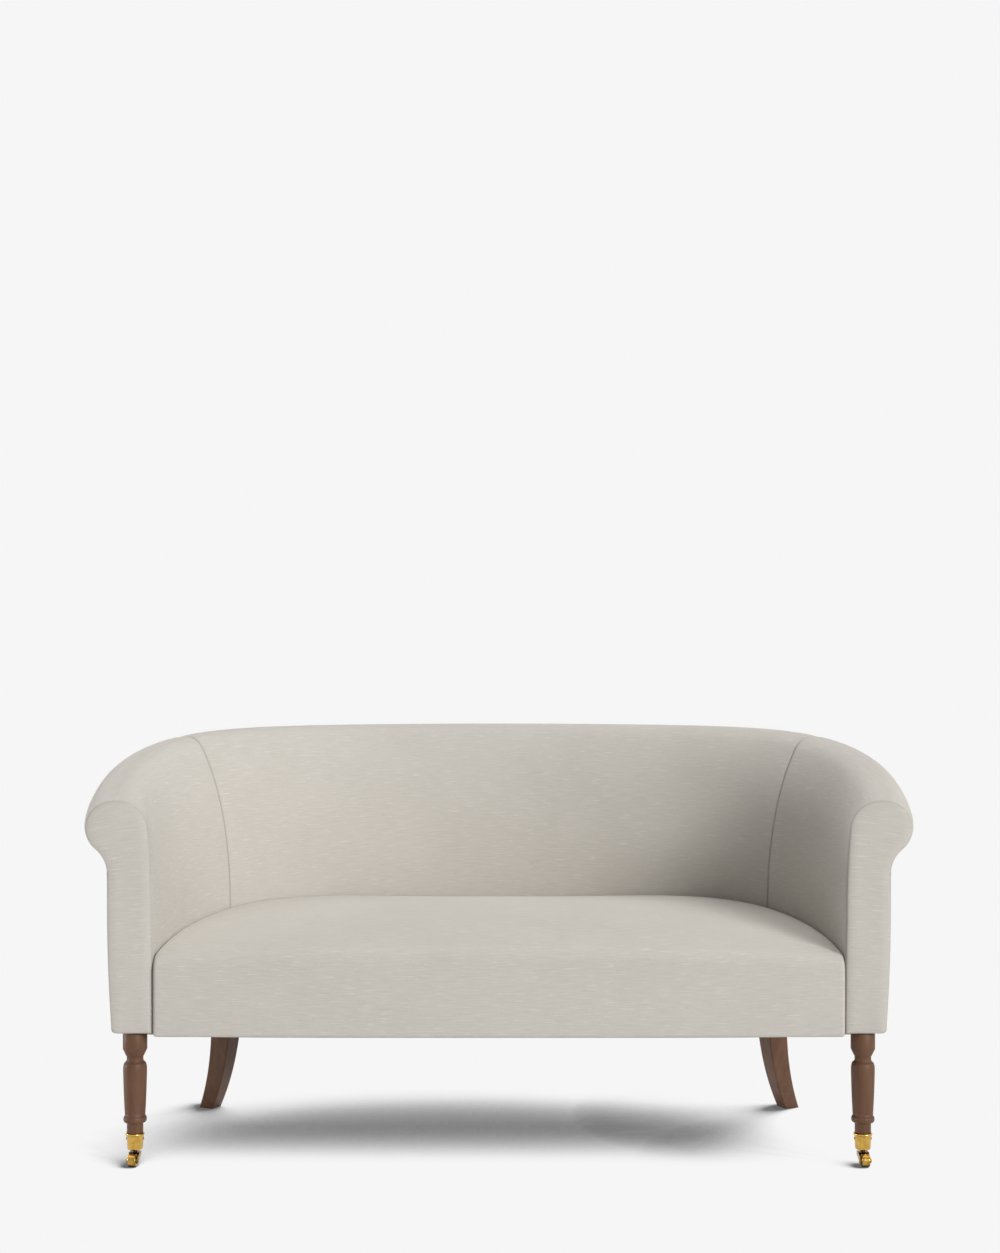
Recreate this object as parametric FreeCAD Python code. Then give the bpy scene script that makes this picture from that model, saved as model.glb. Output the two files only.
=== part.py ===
import FreeCAD, Part
import math
import os

Vector = FreeCAD.Vector

# Plan of the inside of the arms and back. A turn is the angle of the wall's outward normal:
# 0 at the front of the right arm, 90 at the middle of the back, 180 at the front of the left arm.
inside_width = 1336.0
side_radius = 726.0
side_turn = 15.0
corner_radius = 460.0
corner_turn = 72.0
seam_turn = 37.5

# Heights above the floor
arm_height = 711.3
back_rise = 112.3
bend_height = 457.8
frame_bottom = 263.8
cover_bottom = 260.8
rail_height = 82.0

# How the roll climbs and leans from the arm fronts to the middle of the back
rise_start_power = 1.74
rise_end_power = 11.1
back_lean = 78.1
lean_power = 3.62
bend_share = 0.62

# Cross-section of the arm roll and wall
roll_reach = 131.0
roll_radius = 54.5
roll_entry_radius = 60.0
roll_flat = 9.3
roll_exit = 50.0
neck_radius = 68.6
base_width = 79.0
outside_bulge = 3.5
base_corner_radius = 10.0

# Layers of the wall
cover_thickness = 2.0
foam_thickness = 36.0
lining_thickness = 4.0
layer_gap = 0.3
rib_gap = 0.9

# Wooden frame
facing_depth = 6.0
scroll_board_thickness = 24.0
scroll_board_inset = 10.0
rail_thickness = 26.0
front_rail_thickness = 28.0
front_rail_setback = 2.0
rib_thickness = 18.0
arm_rib_turn = 18.0
top_rail_width = 40.0
top_rail_height = 36.0
top_rail_drop = 17.0
top_rail_room = 1.5
cross_rail_width = 26.0
cross_rail_height = 50.0
corner_post_turn = 41.0
corner_post_spread = 7.0
corner_post_inset = 14.0
leg_block_depth = 46.0

# Seat
seat_front_bottom = 255.8
seat_proud = 6.0
seat_bow = 12.5
seat_roll_radius = 32.0
seat_front_height = 430.8
seat_crest_height = 471.8
seat_crest_depth = 330.0
seat_back_height = 447.8
seat_side_height = 409.8
seat_side_slope = 0.108
seat_flange = 24.0
seat_edge_turn = 80.0
seat_gap = 1.0

# Seat springs
spring_count = 8
spring_edge = 230.0
spring_wire = 3.6
spring_width = 50.0
spring_pitch = 24.0
clip_width = 16.0
clip_depth = 10.0
clip_sheet = 1.2
hessian_thickness = 1.2
dust_cover_thickness = 1.2
dust_cover_room = 6.5

# Turned front legs
leg_inset = 39.0
leg_collar_diameter = 47.0
leg_collar_length = 38.0
leg_neck_diameter = 32.0
leg_neck_drop = 57.0
leg_neck_length = 10.0
leg_belly_diameter = 46.0
leg_belly_drop = 78.0
leg_ankle_diameter = 39.0
leg_bead_diameter = 45.0
leg_bead_rise = 27.5
leg_bead_height = 12.0
leg_cove_height = 6.0
leg_swell_share = 0.55
leg_swell_drop_share = 0.3
leg_taper_share = 0.04
bolt_diameter = 8.0
bolt_reach = 60.0
bolt_fit = 0.2
bolt_wall = 2.0

# Rear sabre legs
rear_leg_inset = 44.0
rear_leg_top = 50.0
rear_leg_foot = 34.0
rear_leg_face_turn = 25.8
rear_leg_splay = 112.0
rear_leg_splay_turn = 63.6
rear_leg_sweep = 2.24

# Brass cup castors
cup_top = 62.0
cup_bottom = 30.5
cup_top_diameter = 33.0
cup_bottom_diameter = 29.4
cup_lip_diameter = 34.5
cup_lip_height = 3.5
cup_wall = 1.8
cup_floor = 3.0
cup_fit = 0.15
cup_screw_diameter = 2.4
cup_screw_length = 9.0
cup_screw_head = 5.0
cup_screw_head_height = 1.2
cup_screw_drop = 11.0
wheel_diameter = 25.0
wheel_width = 15.5
wheel_rounding = 2.0
wheel_play = 0.5
wheel_room = 1.0
castor_heading = 4.0
pin_diameter = 5.6
pin_head_diameter = 8.4
pin_head_height = 1.5
pin_play = 0.1
swivel_play = 0.3
fork_top = 25.5
fork_height = 6.5
fork_back = 8.0
fork_front = 6.3
cheek_thickness = 2.2
cheek_boss_diameter = 11.0
axle_diameter = 4.5
axle_head_diameter = 8.0
axle_head_height = 1.2

# Points and sections that the curved shapes are drawn through
face_point_count = 8
entry_point_count = 6
roll_point_count = 11
neck_point_count = 5
outside_point_count = 6
corner_point_count = 4
seat_edge_point_count = 5
seat_point_count = 9
seat_section_count = 9
rear_leg_section_count = 6
arm_section_count = 15
back_section_count = 21
solver_step_count = 50

# Places worked out from the driving dimensions
half_width = inside_width / 2
rail_top = frame_bottom + rail_height
wall_foot = min(frame_bottom, cover_bottom)
wire_radius = spring_wire / 2
wire_height = rail_top + layer_gap + wire_radius
hessian_bottom = wire_height + wire_radius + layer_gap
seat_base = hessian_bottom + hessian_thickness + layer_gap
foam_inset = cover_thickness + layer_gap
rib_inset = foam_inset + foam_thickness + rib_gap
lining_inset = cover_thickness + layer_gap
frame_inset = lining_inset + lining_thickness + layer_gap
rail_outer = base_width - frame_inset
rail_inner = rail_outer - rail_thickness
board_back = facing_depth + scroll_board_thickness
block_back = board_back + leg_block_depth
front_rail_front = facing_depth + front_rail_setback
front_rail_back = front_rail_front + front_rail_thickness
front_rail_bottom = seat_front_bottom + cover_thickness + layer_gap
leg_depth = board_back + bolt_wall + bolt_diameter / 2
roll_centre = Vector(roll_reach - roll_radius, arm_height - roll_radius, 0)
entry_centre = roll_centre + Vector(-roll_flat, roll_radius - roll_entry_radius, 0)

# Centres and radii of the three arcs of the plan, as x and depth behind the arm fronts
side_centre = Vector(half_width - side_radius, facing_depth, 0)


def direction(turn):
    """Unit vector in the plan at an angle in degrees from +X."""
    return Vector(math.cos(math.radians(turn)), math.sin(math.radians(turn)), 0)


corner_centre = side_centre + direction(side_turn) * (side_radius - corner_radius)
back_radius = corner_radius + corner_centre.x / math.cos(math.radians(corner_turn))
back_centre = corner_centre + direction(corner_turn) * (corner_radius - back_radius)
side_length = side_radius * math.radians(side_turn)
corner_length = corner_radius * math.radians(corner_turn - side_turn)
half_length = side_length + corner_length + back_radius * math.radians(90 - corner_turn)
seat_depth = back_centre.y + back_radius
front_reach = seat_proud + seat_bow
back_reach = seat_depth + back_lean + roll_reach
middle_depth = (back_reach - front_reach) / 2


# Plan of the wall

def plan(turn, offset=0.0):
    """Plan point (x, depth) on the inside line of the wall, moved outward by offset."""
    half_turn = min(turn, 180 - turn)
    if half_turn < side_turn:
        centre = side_centre
        radius = side_radius
    elif half_turn < corner_turn:
        centre = corner_centre
        radius = corner_radius
    else:
        centre = back_centre
        radius = back_radius
    point = centre + direction(half_turn) * (radius + offset)
    if turn > 90:
        point.x = -point.x
    return point


def wall_length(turn):
    """Length along the inside line from the nearer arm front, as a share of half the wall."""
    half_turn = min(turn, 180 - turn)
    side_part = min(half_turn, side_turn)
    corner_part = min(max(half_turn - side_turn, 0), corner_turn - side_turn)
    back_part = max(half_turn - corner_turn, 0)
    length = side_radius * math.radians(side_part)
    length += corner_radius * math.radians(corner_part)
    length += back_radius * math.radians(back_part)
    return length / half_length


def turn_at(x, offset):
    """Turn at which the line at this offset lies at the given x, found by halving."""
    low = 0.0
    high = 90.0
    for step in range(solver_step_count):
        middle = (low + high) / 2
        if plan(middle, offset).x > x:
            low = middle
        else:
            high = middle
    return low


def place(turn, offset, height):
    """Point of the sofa at a turn, an offset outward from the inside line and a height."""
    point = plan(turn, offset)
    return Vector(point.x, point.y - middle_depth, height)


def at_depth(x, depth, height):
    """Point of the sofa at a depth behind the arm fronts."""
    return Vector(x, depth - middle_depth, height)


# Cross-section of the wall, as (offset, height) points

def roll_shift(turn):
    """How far the roll has leaned outward and climbed at this turn."""
    share = wall_length(turn)
    lean = back_lean * (1 - (1 - share) ** lean_power)
    rise = back_rise * (1 - (1 - share ** rise_start_power) ** rise_end_power)
    return Vector(lean, rise, 0)


def roll_entry(shift):
    """Angle on the entry arc at which the inside face runs smoothly into the roll."""
    angle = 180.0
    for step in range(solver_step_count):
        start = entry_centre + shift + direction(angle) * roll_entry_radius
        slope = start.x / ((1 - bend_share) * (start.y - bend_height))
        angle = 180 - math.degrees(math.atan(slope))
    return angle


def bend_points(shift):
    """Start, bend and end of the curve of the inside face below the roll."""
    start = Vector(0, bend_height, 0)
    end = entry_centre + shift + direction(roll_entry(shift)) * roll_entry_radius
    bend = Vector(0, bend_height + bend_share * (end.y - bend_height), 0)
    return start, bend, end


def bend_part(turn, height):
    """Part of the inside face's curve that lies below a height."""
    start, bend, end = bend_points(roll_shift(turn))
    climb = 2 * (bend.y - start.y)
    curl = start.y - 2 * bend.y + end.y
    drop = start.y - height
    return -2 * drop / (climb + math.sqrt(climb ** 2 - 4 * curl * drop))


def inside_face(turn, inset, low, part=1.0):
    """Points up the inside face, from a low height through a part of its curve."""
    start, bend, end = bend_points(roll_shift(turn))
    points = [Vector(inset, low, 0), Vector(inset, (low + bend_height) / 2, 0)]
    for step in range(face_point_count):
        share = part * step / (face_point_count - 1)
        point = start * (1 - share) ** 2 + bend * (2 * share * (1 - share)) + end * share ** 2
        along = (bend - start) * (1 - share) + (end - bend) * share
        normal = Vector(along.y, -along.x, 0).normalize()
        points.append(point + normal * inset)
    return points


def arc_points(centre, radius, start, end, count):
    """Points on an arc, from the start angle to the end angle."""
    points = []
    for step in range(count):
        angle = start + (end - start) * step / (count - 1)
        points.append(centre + direction(angle) * radius)
    return points


def roll_top(turn, inset):
    """Points over the roll, from the inside face to where it turns under."""
    shift = roll_shift(turn)
    entry = roll_entry(shift)
    start = arc_points(entry_centre + shift, roll_entry_radius - inset, entry, 90, entry_point_count)
    over = arc_points(roll_centre + shift, roll_radius - inset, 90, -roll_exit, roll_point_count)
    return start[1:] + over


def neck_centre(turn):
    """Centre of the hollow under the roll."""
    return roll_centre + roll_shift(turn) + direction(-roll_exit) * (roll_radius + neck_radius)


def neck_end(turn, inset):
    """Angle at which the outside face runs off the neck."""
    foot = Vector(base_width - inset, wall_foot, 0) - neck_centre(turn)
    angle = math.degrees(math.atan2(foot.y, foot.x)) % 360
    return angle - math.degrees(math.acos((neck_radius + inset) / foot.Length))


def neck_face(turn, inset):
    """Points round the hollow under the roll."""
    end = neck_end(turn, inset)
    points = arc_points(neck_centre(turn), neck_radius + inset, 180 - roll_exit, end, neck_point_count)
    return points[1:]


def outside_face(turn, inset, low, top_gap=0.0):
    """Points down the outside face, from the neck to a low height."""
    top = neck_centre(turn) + direction(neck_end(turn, inset)) * (neck_radius + inset)
    foot = Vector(base_width - inset, wall_foot, 0)
    length = top.y - foot.y
    high = top.y - top_gap
    points = []
    for step in range(outside_point_count):
        height = high + (low - high) * step / (outside_point_count - 1)
        share = (height - foot.y) / length
        bulge = 4 * outside_bulge * share * (1 - share)
        points.append(Vector(foot.x + (top.x - foot.x) * share + bulge, height, 0))
    return points


# Solids swept along the wall

def knots(run):
    """Curve parameters of a run of points, by the length along it."""
    lengths = [0.0]
    for before, after in zip(run, run[1:]):
        lengths.append(lengths[-1] + (after - before).Length)
    return [length / lengths[-1] for length in lengths]


def edge(points, parameters):
    """Straight edge through two points, or smooth curve through more."""
    if len(points) == 2:
        return Part.makeLine(points[0], points[1])
    curve = Part.BSplineCurve()
    curve.interpolate(Points=points, Parameters=parameters)
    return curve.toShape()


def section_wire(turn, runs, parameters):
    """Closed outline across the wall at this turn."""
    edges = []
    for run, run_parameters in zip(runs, parameters):
        points = [place(turn, point.x, point.y) for point in run]
        edges.append(edge(points, run_parameters))
    return Part.Wire(edges)


def wall_solid(section, first_turn, last_turn, count):
    """Solid that follows the wall between two turns, through count cross-sections."""
    parameters = [knots(run) for run in section(first_turn)]
    wires = []
    for step in range(count):
        turn = first_turn + (last_turn - first_turn) * step / (count - 1)
        wires.append(section_wire(turn, section(turn), parameters))
    return Part.makeLoft(wires, True)


def straight_runs(points):
    """Closed runs of straight edges through the points."""
    return [[start, end] for start, end in zip(points, points[1:] + points[:1])]


def ring(outer, inner):
    """Runs of a thin section between two lines of points that go the same way."""
    inner = inner[::-1]
    return [outer, [outer[-1], inner[0]], inner, [inner[-1], outer[0]]]


def inside_cover_section(turn):
    """Fabric from the seat up over the roll to the neck."""
    lines = []
    for inset in (0.0, cover_thickness):
        points = inside_face(turn, inset, seat_base)
        points += roll_top(turn, inset)
        points += neck_face(turn, inset)
        lines.append(points)
    return ring(lines[0], lines[1])


def outside_cover_section(turn):
    """Fabric from the neck down to the lower edge."""
    outer = outside_face(turn, 0.0, cover_bottom, layer_gap)
    inner = outside_face(turn, cover_thickness, cover_bottom, layer_gap)
    return ring(outer, inner)


def lining_section(turn):
    """Board behind the outside cover."""
    outer = outside_face(turn, lining_inset, frame_bottom, layer_gap)
    inner = outside_face(turn, lining_inset + lining_thickness, frame_bottom, layer_gap)
    return ring(outer, inner)


def top_rail_corners(turn, gap):
    """Corners of the top rail, set back from the neck: inner low, inner high, outer high, outer low."""
    top = roll_centre.y + roll_shift(turn).y - top_rail_drop
    low = top - top_rail_height
    neck = neck_centre(turn)
    reach = neck_radius + cover_thickness + top_rail_room
    outer = neck.x - math.sqrt(reach ** 2 - (low - neck.y) ** 2)
    inner = outer - top_rail_width
    return [
        Vector(inner - gap, low, 0),
        Vector(inner - gap, top + gap, 0),
        Vector(outer + gap, top + gap, 0),
        Vector(outer + gap, low, 0),
    ]


def top_rail_section(turn):
    """Rail that carries the roll."""
    return straight_runs(top_rail_corners(turn, 0.0))


def foam_section(turn):
    """Padding of the inside face, wrapped over the top rail."""
    front = inside_face(turn, foam_inset, seat_base) + roll_top(turn, foam_inset)
    corners = top_rail_corners(turn, rib_gap)
    part = bend_part(turn, corners[0].y - rib_thickness)
    back = inside_face(turn, foam_inset + foam_thickness, seat_base, part)
    return [
        front,
        [front[-1], corners[3]],
        [corners[3], corners[2]],
        [corners[2], corners[1]],
        [corners[1], corners[0]],
        [corners[0], back[-1]],
        back[::-1],
        [back[0], front[0]],
    ]


def box(x_low, x_high, depth_low, depth_high, low, high):
    """Block between two corners, with depths behind the arm fronts."""
    corner = at_depth(x_low, depth_low, low)
    return Part.makeBox(x_high - x_low, depth_high - depth_low, high - low, corner)


def behind(shape, depth):
    """What is left of a shape behind a depth."""
    reach = half_width + roll_reach + back_lean
    return shape.cut(box(-reach, reach, -reach, depth, 0, arm_height + back_rise))


def mirrored(shape):
    """Left-hand copy of a right-hand piece."""
    return shape.mirror(Vector(0, 0, 0), Vector(1, 0, 0))


# Flat outlines in the plan

def arc_edges(offset, first_turn, last_turn, height):
    """Exact arcs of the wall line at an offset, between two turns."""
    joints = [side_turn, corner_turn, 180 - corner_turn, 180 - side_turn]
    turns = [first_turn] + [t for t in joints if first_turn < t < last_turn] + [last_turn]
    edges = []
    for start, end in zip(turns, turns[1:]):
        points = [place(turn, offset, height) for turn in (start, (start + end) / 2, end)]
        edges.append(Part.Arc(points[0], points[1], points[2]).toShape())
    return edges


def band(inner, outer, first_turn, last_turn, low, high):
    """Curved board between two offsets of the wall line."""
    edges = arc_edges(inner, first_turn, last_turn, low)
    edges.append(Part.makeLine(place(last_turn, inner, low), place(last_turn, outer, low)))
    edges += arc_edges(outer, first_turn, last_turn, low)[::-1]
    edges.append(Part.makeLine(place(first_turn, outer, low), place(first_turn, inner, low)))
    return Part.Face(Part.Wire(edges)).extrude(Vector(0, 0, high - low))


def seat_plan(offset, front, low, high):
    """Block with the plan of the seat, as wide as the wall line at an offset."""
    edges = arc_edges(offset, 0, 180, low)
    corners = [
        place(180, offset, low),
        at_depth(-half_width - offset, front, low),
        at_depth(half_width + offset, front, low),
        place(0, offset, low),
    ]
    for start, end in zip(corners, corners[1:]):
        edges.append(Part.makeLine(start, end))
    return Part.Face(Part.Wire(edges)).extrude(Vector(0, 0, high - low))


# Seat frame

def front_rail():
    """Straight rail between the two scroll boards."""
    reach = half_width + scroll_board_inset
    return box(-reach, reach, front_rail_front, front_rail_back, front_rail_bottom, rail_top)


def side_rail():
    """Curved rail from the front leg block to the rear corner post."""
    end = corner_post_turn - corner_post_spread
    return behind(band(rail_inner, rail_outer, 0, end, frame_bottom, rail_top), block_back)


def back_rail():
    """Curved rail between the two rear corner posts."""
    end = corner_post_turn + corner_post_spread
    return band(rail_inner, rail_outer, end, 180 - end, frame_bottom, rail_top)


def corner_post():
    """Block that the rear leg bolts into, between the side rail and the back rail."""
    start = corner_post_turn - corner_post_spread
    end = corner_post_turn + corner_post_spread
    post = band(corner_post_inset, rail_outer, start, end, frame_bottom, rail_top)
    return post.cut(bolt(rear_leg_place(), bolt_fit))


def leg_block():
    """Block that the front leg bolts into, behind the scroll board and flush with the side rail."""
    inner = half_width + scroll_board_inset
    outer = half_width + rail_outer
    block = box(inner, outer, board_back, block_back, frame_bottom, rail_top)
    block = block.common(seat_plan(rail_outer, 0, frame_bottom, rail_top))
    return block.cut(bolt(front_leg_place(), bolt_fit))


def cross_rails():
    """Two stretchers from the front rail to the back rail, half way between springs."""
    inside = seat_plan(rail_inner - layer_gap, 0, frame_bottom, rail_top)
    rails = []
    for side in (-1, 1):
        middle = side * spring_spacing
        half = cross_rail_width / 2
        top = frame_bottom + cross_rail_height
        blank = box(middle - half, middle + half, front_rail_back, back_reach, frame_bottom, top)
        rails.append(blank.common(inside))
    return Part.makeCompound(rails)


# Arms and back

def flat_outline(runs, depth):
    """Face across the right arm, at a depth behind the arm front."""
    edges = []
    for run in runs:
        points = [at_depth(half_width + point.x, depth, point.y) for point in run]
        edges.append(edge(points, knots(run)))
    return Part.Face(Part.Wire(edges))


def scroll_outline(inset, bottom):
    """Runs round the scroll at the front of the arm, drawn in by an inset."""
    inner = inside_face(0, inset, bottom)
    scroll = inner[2:] + roll_top(0, inset) + neck_face(0, inset)
    radius = base_corner_radius
    outer = outside_face(0, inset, bottom + radius)
    centre = Vector(outer[-1].x - radius, bottom + radius, 0)
    corner = arc_points(centre, radius, 0, -90, corner_point_count)
    return [
        [inner[0], inner[2]],
        scroll,
        outer,
        corner,
        [corner[-1], inner[0]],
    ]


def scroll_plate(inset, bottom, front, back):
    """Flat plate of the scroll's shape between two depths."""
    face = flat_outline(scroll_outline(inset, bottom), front)
    return face.extrude(Vector(0, back - front, 0))


def facing_cover():
    """Fabric over the facing board, with its edge turned back."""
    outer = scroll_plate(0.0, cover_bottom, 0, facing_depth)
    hollow = scroll_plate(cover_thickness, cover_bottom + cover_thickness, cover_thickness, facing_depth)
    return outer.cut(hollow)


def facing_board():
    """Thin board inside the facing."""
    front = cover_thickness + layer_gap
    return scroll_plate(front, cover_bottom + front, front, facing_depth)


def scroll_board():
    """Board that carries the front of the arm and gives the scroll its shape."""
    return scroll_plate(scroll_board_inset, frame_bottom, facing_depth, board_back)


def rib(turn):
    """Upright board from the seat rail to the top rail, cut to the slope of the wall."""
    spread = math.degrees(rib_thickness / 2 / corner_radius)
    turns = (turn - spread, turn, turn + spread)
    tops = [top_rail_corners(t, 0.0) for t in turns]
    high = min(corners[0].y for corners in tops)
    inner = max(corners[0].x for corners in tops)
    outer = min(corners[3].x for corners in tops)
    parts = [bend_part(t, high - rib_thickness) for t in turns]
    inner_lines = [inside_face(t, rib_inset, rail_top, part) for t, part in zip(turns, parts)]
    outer_lines = [outside_face(t, frame_inset + rib_gap, rail_top, layer_gap) for t in turns]
    front = [Vector(max(p.x for p in row), row[1].y, 0) for row in zip(*inner_lines)]
    back = [Vector(min(p.x for p in row), row[1].y, 0) for row in zip(*outer_lines)]
    runs = [
        front,
        [front[-1], Vector(inner, high, 0)],
        [Vector(inner, high, 0), Vector(outer, high, 0)],
        [Vector(outer, high, 0), back[0]],
        back,
        [back[-1], front[0]],
    ]
    face = Part.Face(section_wire(turn, runs, [knots(run) for run in runs]))
    along = direction(turn + 90) * rib_thickness
    face.translate(along * -0.5)
    return face.extrude(along)


def back_ribs():
    """Ribs of the back: over the corner posts, at the middle and between springs."""
    between = turn_at(2 * spring_spacing, rail_inner + rail_thickness / 2)
    turns = [corner_post_turn, between, 90, 180 - between, 180 - corner_post_turn]
    return Part.makeCompound([rib(turn) for turn in turns])


# Seat

def seat_top(x, depth):
    """Height of the crowned seat."""
    side = seat_side_height + seat_side_slope * depth
    if depth < seat_crest_depth:
        fall = seat_crest_height - seat_front_height
        reach = seat_crest_depth
    else:
        fall = seat_crest_height - seat_back_height
        reach = seat_depth - seat_crest_depth
    centre = seat_crest_height - fall * ((depth - seat_crest_depth) / reach) ** 2
    share = (x / half_width) ** 2
    return side * share + centre * (1 - share)


def seat_front(x):
    """Depth of the bowed front of the seat, before the arm fronts."""
    return -seat_proud - seat_bow * (1 - (x / half_width) ** 2)


def seat_curve(x, inset):
    """Points over the front edge and top of the seat."""
    top = seat_top(x, seat_front(x) + seat_roll_radius) - inset
    radius = min(seat_roll_radius - inset, top - seat_base - layer_gap)
    centre = Vector(seat_front(x) + inset + radius, top - radius, 0)
    points = arc_points(centre, radius, 180, 180 - seat_edge_turn, seat_edge_point_count)
    back = seat_depth + rail_thickness
    for step in range(1, seat_point_count + 1):
        depth = centre.x + (back - centre.x) * step / seat_point_count
        points.append(Vector(depth, seat_top(x, depth) - inset, 0))
    return points


def seat_solid(inset, lower):
    """Crowned block over the whole width, closed below by a line of points from back to front."""
    reach = half_width + layer_gap
    wires = []
    parameters = knots(seat_curve(0, inset))
    for step in range(seat_section_count):
        x = reach * (2 * step / (seat_section_count - 1) - 1)
        curve = seat_curve(x, inset)
        front = seat_front(x) + inset
        points = [curve[-1], Vector(curve[-1].x, lower[0].y, 0)] + lower
        points += [Vector(front, lower[-1].y, 0), curve[0]]
        edges = [edge([at_depth(x, p.x, p.y) for p in curve], parameters)]
        for start, end in zip(points, points[1:]):
            edges.append(Part.makeLine(at_depth(x, start.x, start.y), at_depth(x, end.x, end.y)))
        wires.append(Part.Wire(edges))
    block = Part.makeLoft(wires, True)
    top = seat_crest_height + seat_roll_radius
    return block.common(seat_plan(-seat_gap - inset, -front_reach - seat_roll_radius, 0, top))


def seat_cover():
    """Fabric over the seat and down its front, turned under the front rail."""
    rail_face = front_rail_front - layer_gap
    flange_back = front_rail_front + seat_flange
    flange_top = seat_front_bottom + cover_thickness
    outer_line = [
        Vector(rail_face, seat_base, 0),
        Vector(rail_face, flange_top, 0),
        Vector(flange_back, flange_top, 0),
        Vector(flange_back, seat_front_bottom, 0),
    ]
    inner_line = [
        Vector(rail_face + cover_thickness, seat_base - cover_thickness, 0),
        Vector(rail_face + cover_thickness, flange_top, 0),
    ]
    return seat_solid(0.0, outer_line).cut(seat_solid(cover_thickness, inner_line))


def seat_foam():
    """Crowned foam block on the hessian."""
    line = [Vector(front_rail_back, seat_base, 0)]
    return seat_solid(foam_inset, line)


def border_pad():
    """Pad between the front rail and the front of the seat cover."""
    reach = half_width - seat_gap - foam_inset
    back = front_rail_front - layer_gap
    low = front_rail_bottom
    ends = [at_depth(x, seat_front(x) + foam_inset, low) for x in (-reach, 0, reach)]
    edges = [
        Part.Arc(ends[0], ends[1], ends[2]).toShape(),
        Part.makeLine(ends[2], at_depth(reach, back, low)),
        Part.makeLine(at_depth(reach, back, low), at_depth(-reach, back, low)),
        Part.makeLine(at_depth(-reach, back, low), ends[0]),
    ]
    return Part.Face(Part.Wire(edges)).extrude(Vector(0, 0, seat_base - layer_gap - low))


# Springs

spring_spacing = 2 * (half_width - spring_edge) / (spring_count - 1)
spring_front = (front_rail_front + front_rail_back) / 2


def spring_places():
    """Middle x, front depth and back depth of each spring."""
    places = []
    for i in range(spring_count):
        x = spring_spacing * (i - (spring_count - 1) / 2)
        offset = rail_inner + rail_thickness / 2
        back = plan(turn_at(abs(x), offset), offset).y
        places.append((x, spring_front, back))
    return places


def spring(x, front, back):
    """Serpentine wire: straight bars joined by half turns."""
    bars = int((back - front) / spring_pitch) + 1
    pitch = (back - front) / (bars - 1)
    radius = pitch / 2
    half_bar = spring_width / 2 - radius
    edges = []
    for i in range(bars):
        side = 1 if i % 2 == 0 else -1
        depth = front + i * pitch
        start = at_depth(x - side * half_bar, depth, wire_height)
        end = at_depth(x + side * half_bar, depth, wire_height)
        edges.append(Part.makeLine(start, end))
        if i < bars - 1:
            middle = at_depth(x + side * (half_bar + radius), depth + radius, wire_height)
            after = at_depth(x + side * half_bar, depth + pitch, wire_height)
            edges.append(Part.Arc(end, middle, after).toShape())
    path = Part.Wire(edges)
    profile = Part.Wire(Part.makeCircle(wire_radius, path.Vertexes[0].Point, Vector(1, 0, 0)))
    return path.makePipeShell([profile], True, False)


def seat_springs():
    """All the serpentine springs."""
    return Part.makeCompound([spring(x, front, back) for x, front, back in spring_places()])


def clip(x, depth):
    """Saddle over the end bar of a spring, on top of the rail."""
    slot_top = wire_height + wire_radius + layer_gap
    half_x = clip_width / 2
    half_depth = clip_depth / 2
    slot = wire_radius + layer_gap
    saddle = box(x - half_x, x + half_x, depth - half_depth, depth + half_depth, rail_top,
                 slot_top + clip_sheet)
    return saddle.cut(box(x - half_x, x + half_x, depth - slot, depth + slot, rail_top, slot_top))


def spring_clips():
    """One clip at each end of each spring."""
    clips = []
    for x, front, back in spring_places():
        clips += [clip(x, front), clip(x, back)]
    return Part.makeCompound(clips)


def hessian():
    """Sheet between the springs and the foam."""
    offset = -seat_gap - foam_inset
    sheet = seat_plan(offset, 0, hessian_bottom, hessian_bottom + hessian_thickness)
    return behind(sheet, spring_front + clip_depth / 2 + layer_gap)


def dust_cover():
    """Sheet under the frame, cut out round the legs."""
    top = frame_bottom
    low = top - dust_cover_thickness
    sheet = seat_plan((rail_inner + rail_outer) / 2, 0, low, top)
    sheet = behind(sheet, front_rail_back)
    for leg in (front_leg_place(), rear_leg_place()):
        radius = max(leg_collar_diameter / 2, rear_leg_top * math.sqrt(0.5)) + dust_cover_room
        hole = Part.makeCylinder(radius, dust_cover_thickness, Vector(leg.x, leg.y, low))
        sheet = sheet.cut(hole).cut(mirrored(hole))
    return sheet


# Legs

def front_leg_place():
    """Top of the right front leg's axis."""
    return at_depth(half_width + leg_inset, leg_depth, frame_bottom)


def rear_leg_place():
    """Top of the right rear leg's axis."""
    return place(corner_post_turn, rear_leg_inset, frame_bottom)


def bolt(top, fit=0.0):
    """Stud through the joint of a leg and its block."""
    radius = bolt_diameter / 2 + fit
    reach = bolt_reach + fit
    return Part.makeCylinder(radius, 2 * reach, top - Vector(0, 0, reach))


def turned(runs, axis):
    """Solid turned about a vertical axis, from runs of (radius, height) points."""
    edges = []
    for run in runs:
        points = [Vector(axis.x + point.x, axis.y, point.y) for point in run]
        edges.append(edge(points, knots(run)))
    face = Part.Face(Part.Wire(edges))
    return face.revolve(axis, Vector(0, 0, 1), 360)


spigot_top = cup_top_diameter / 2 - cup_wall - cup_fit
spigot_foot = cup_bottom_diameter / 2 - cup_wall - cup_fit
spigot_end = cup_bottom + cup_floor + cup_fit


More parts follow.
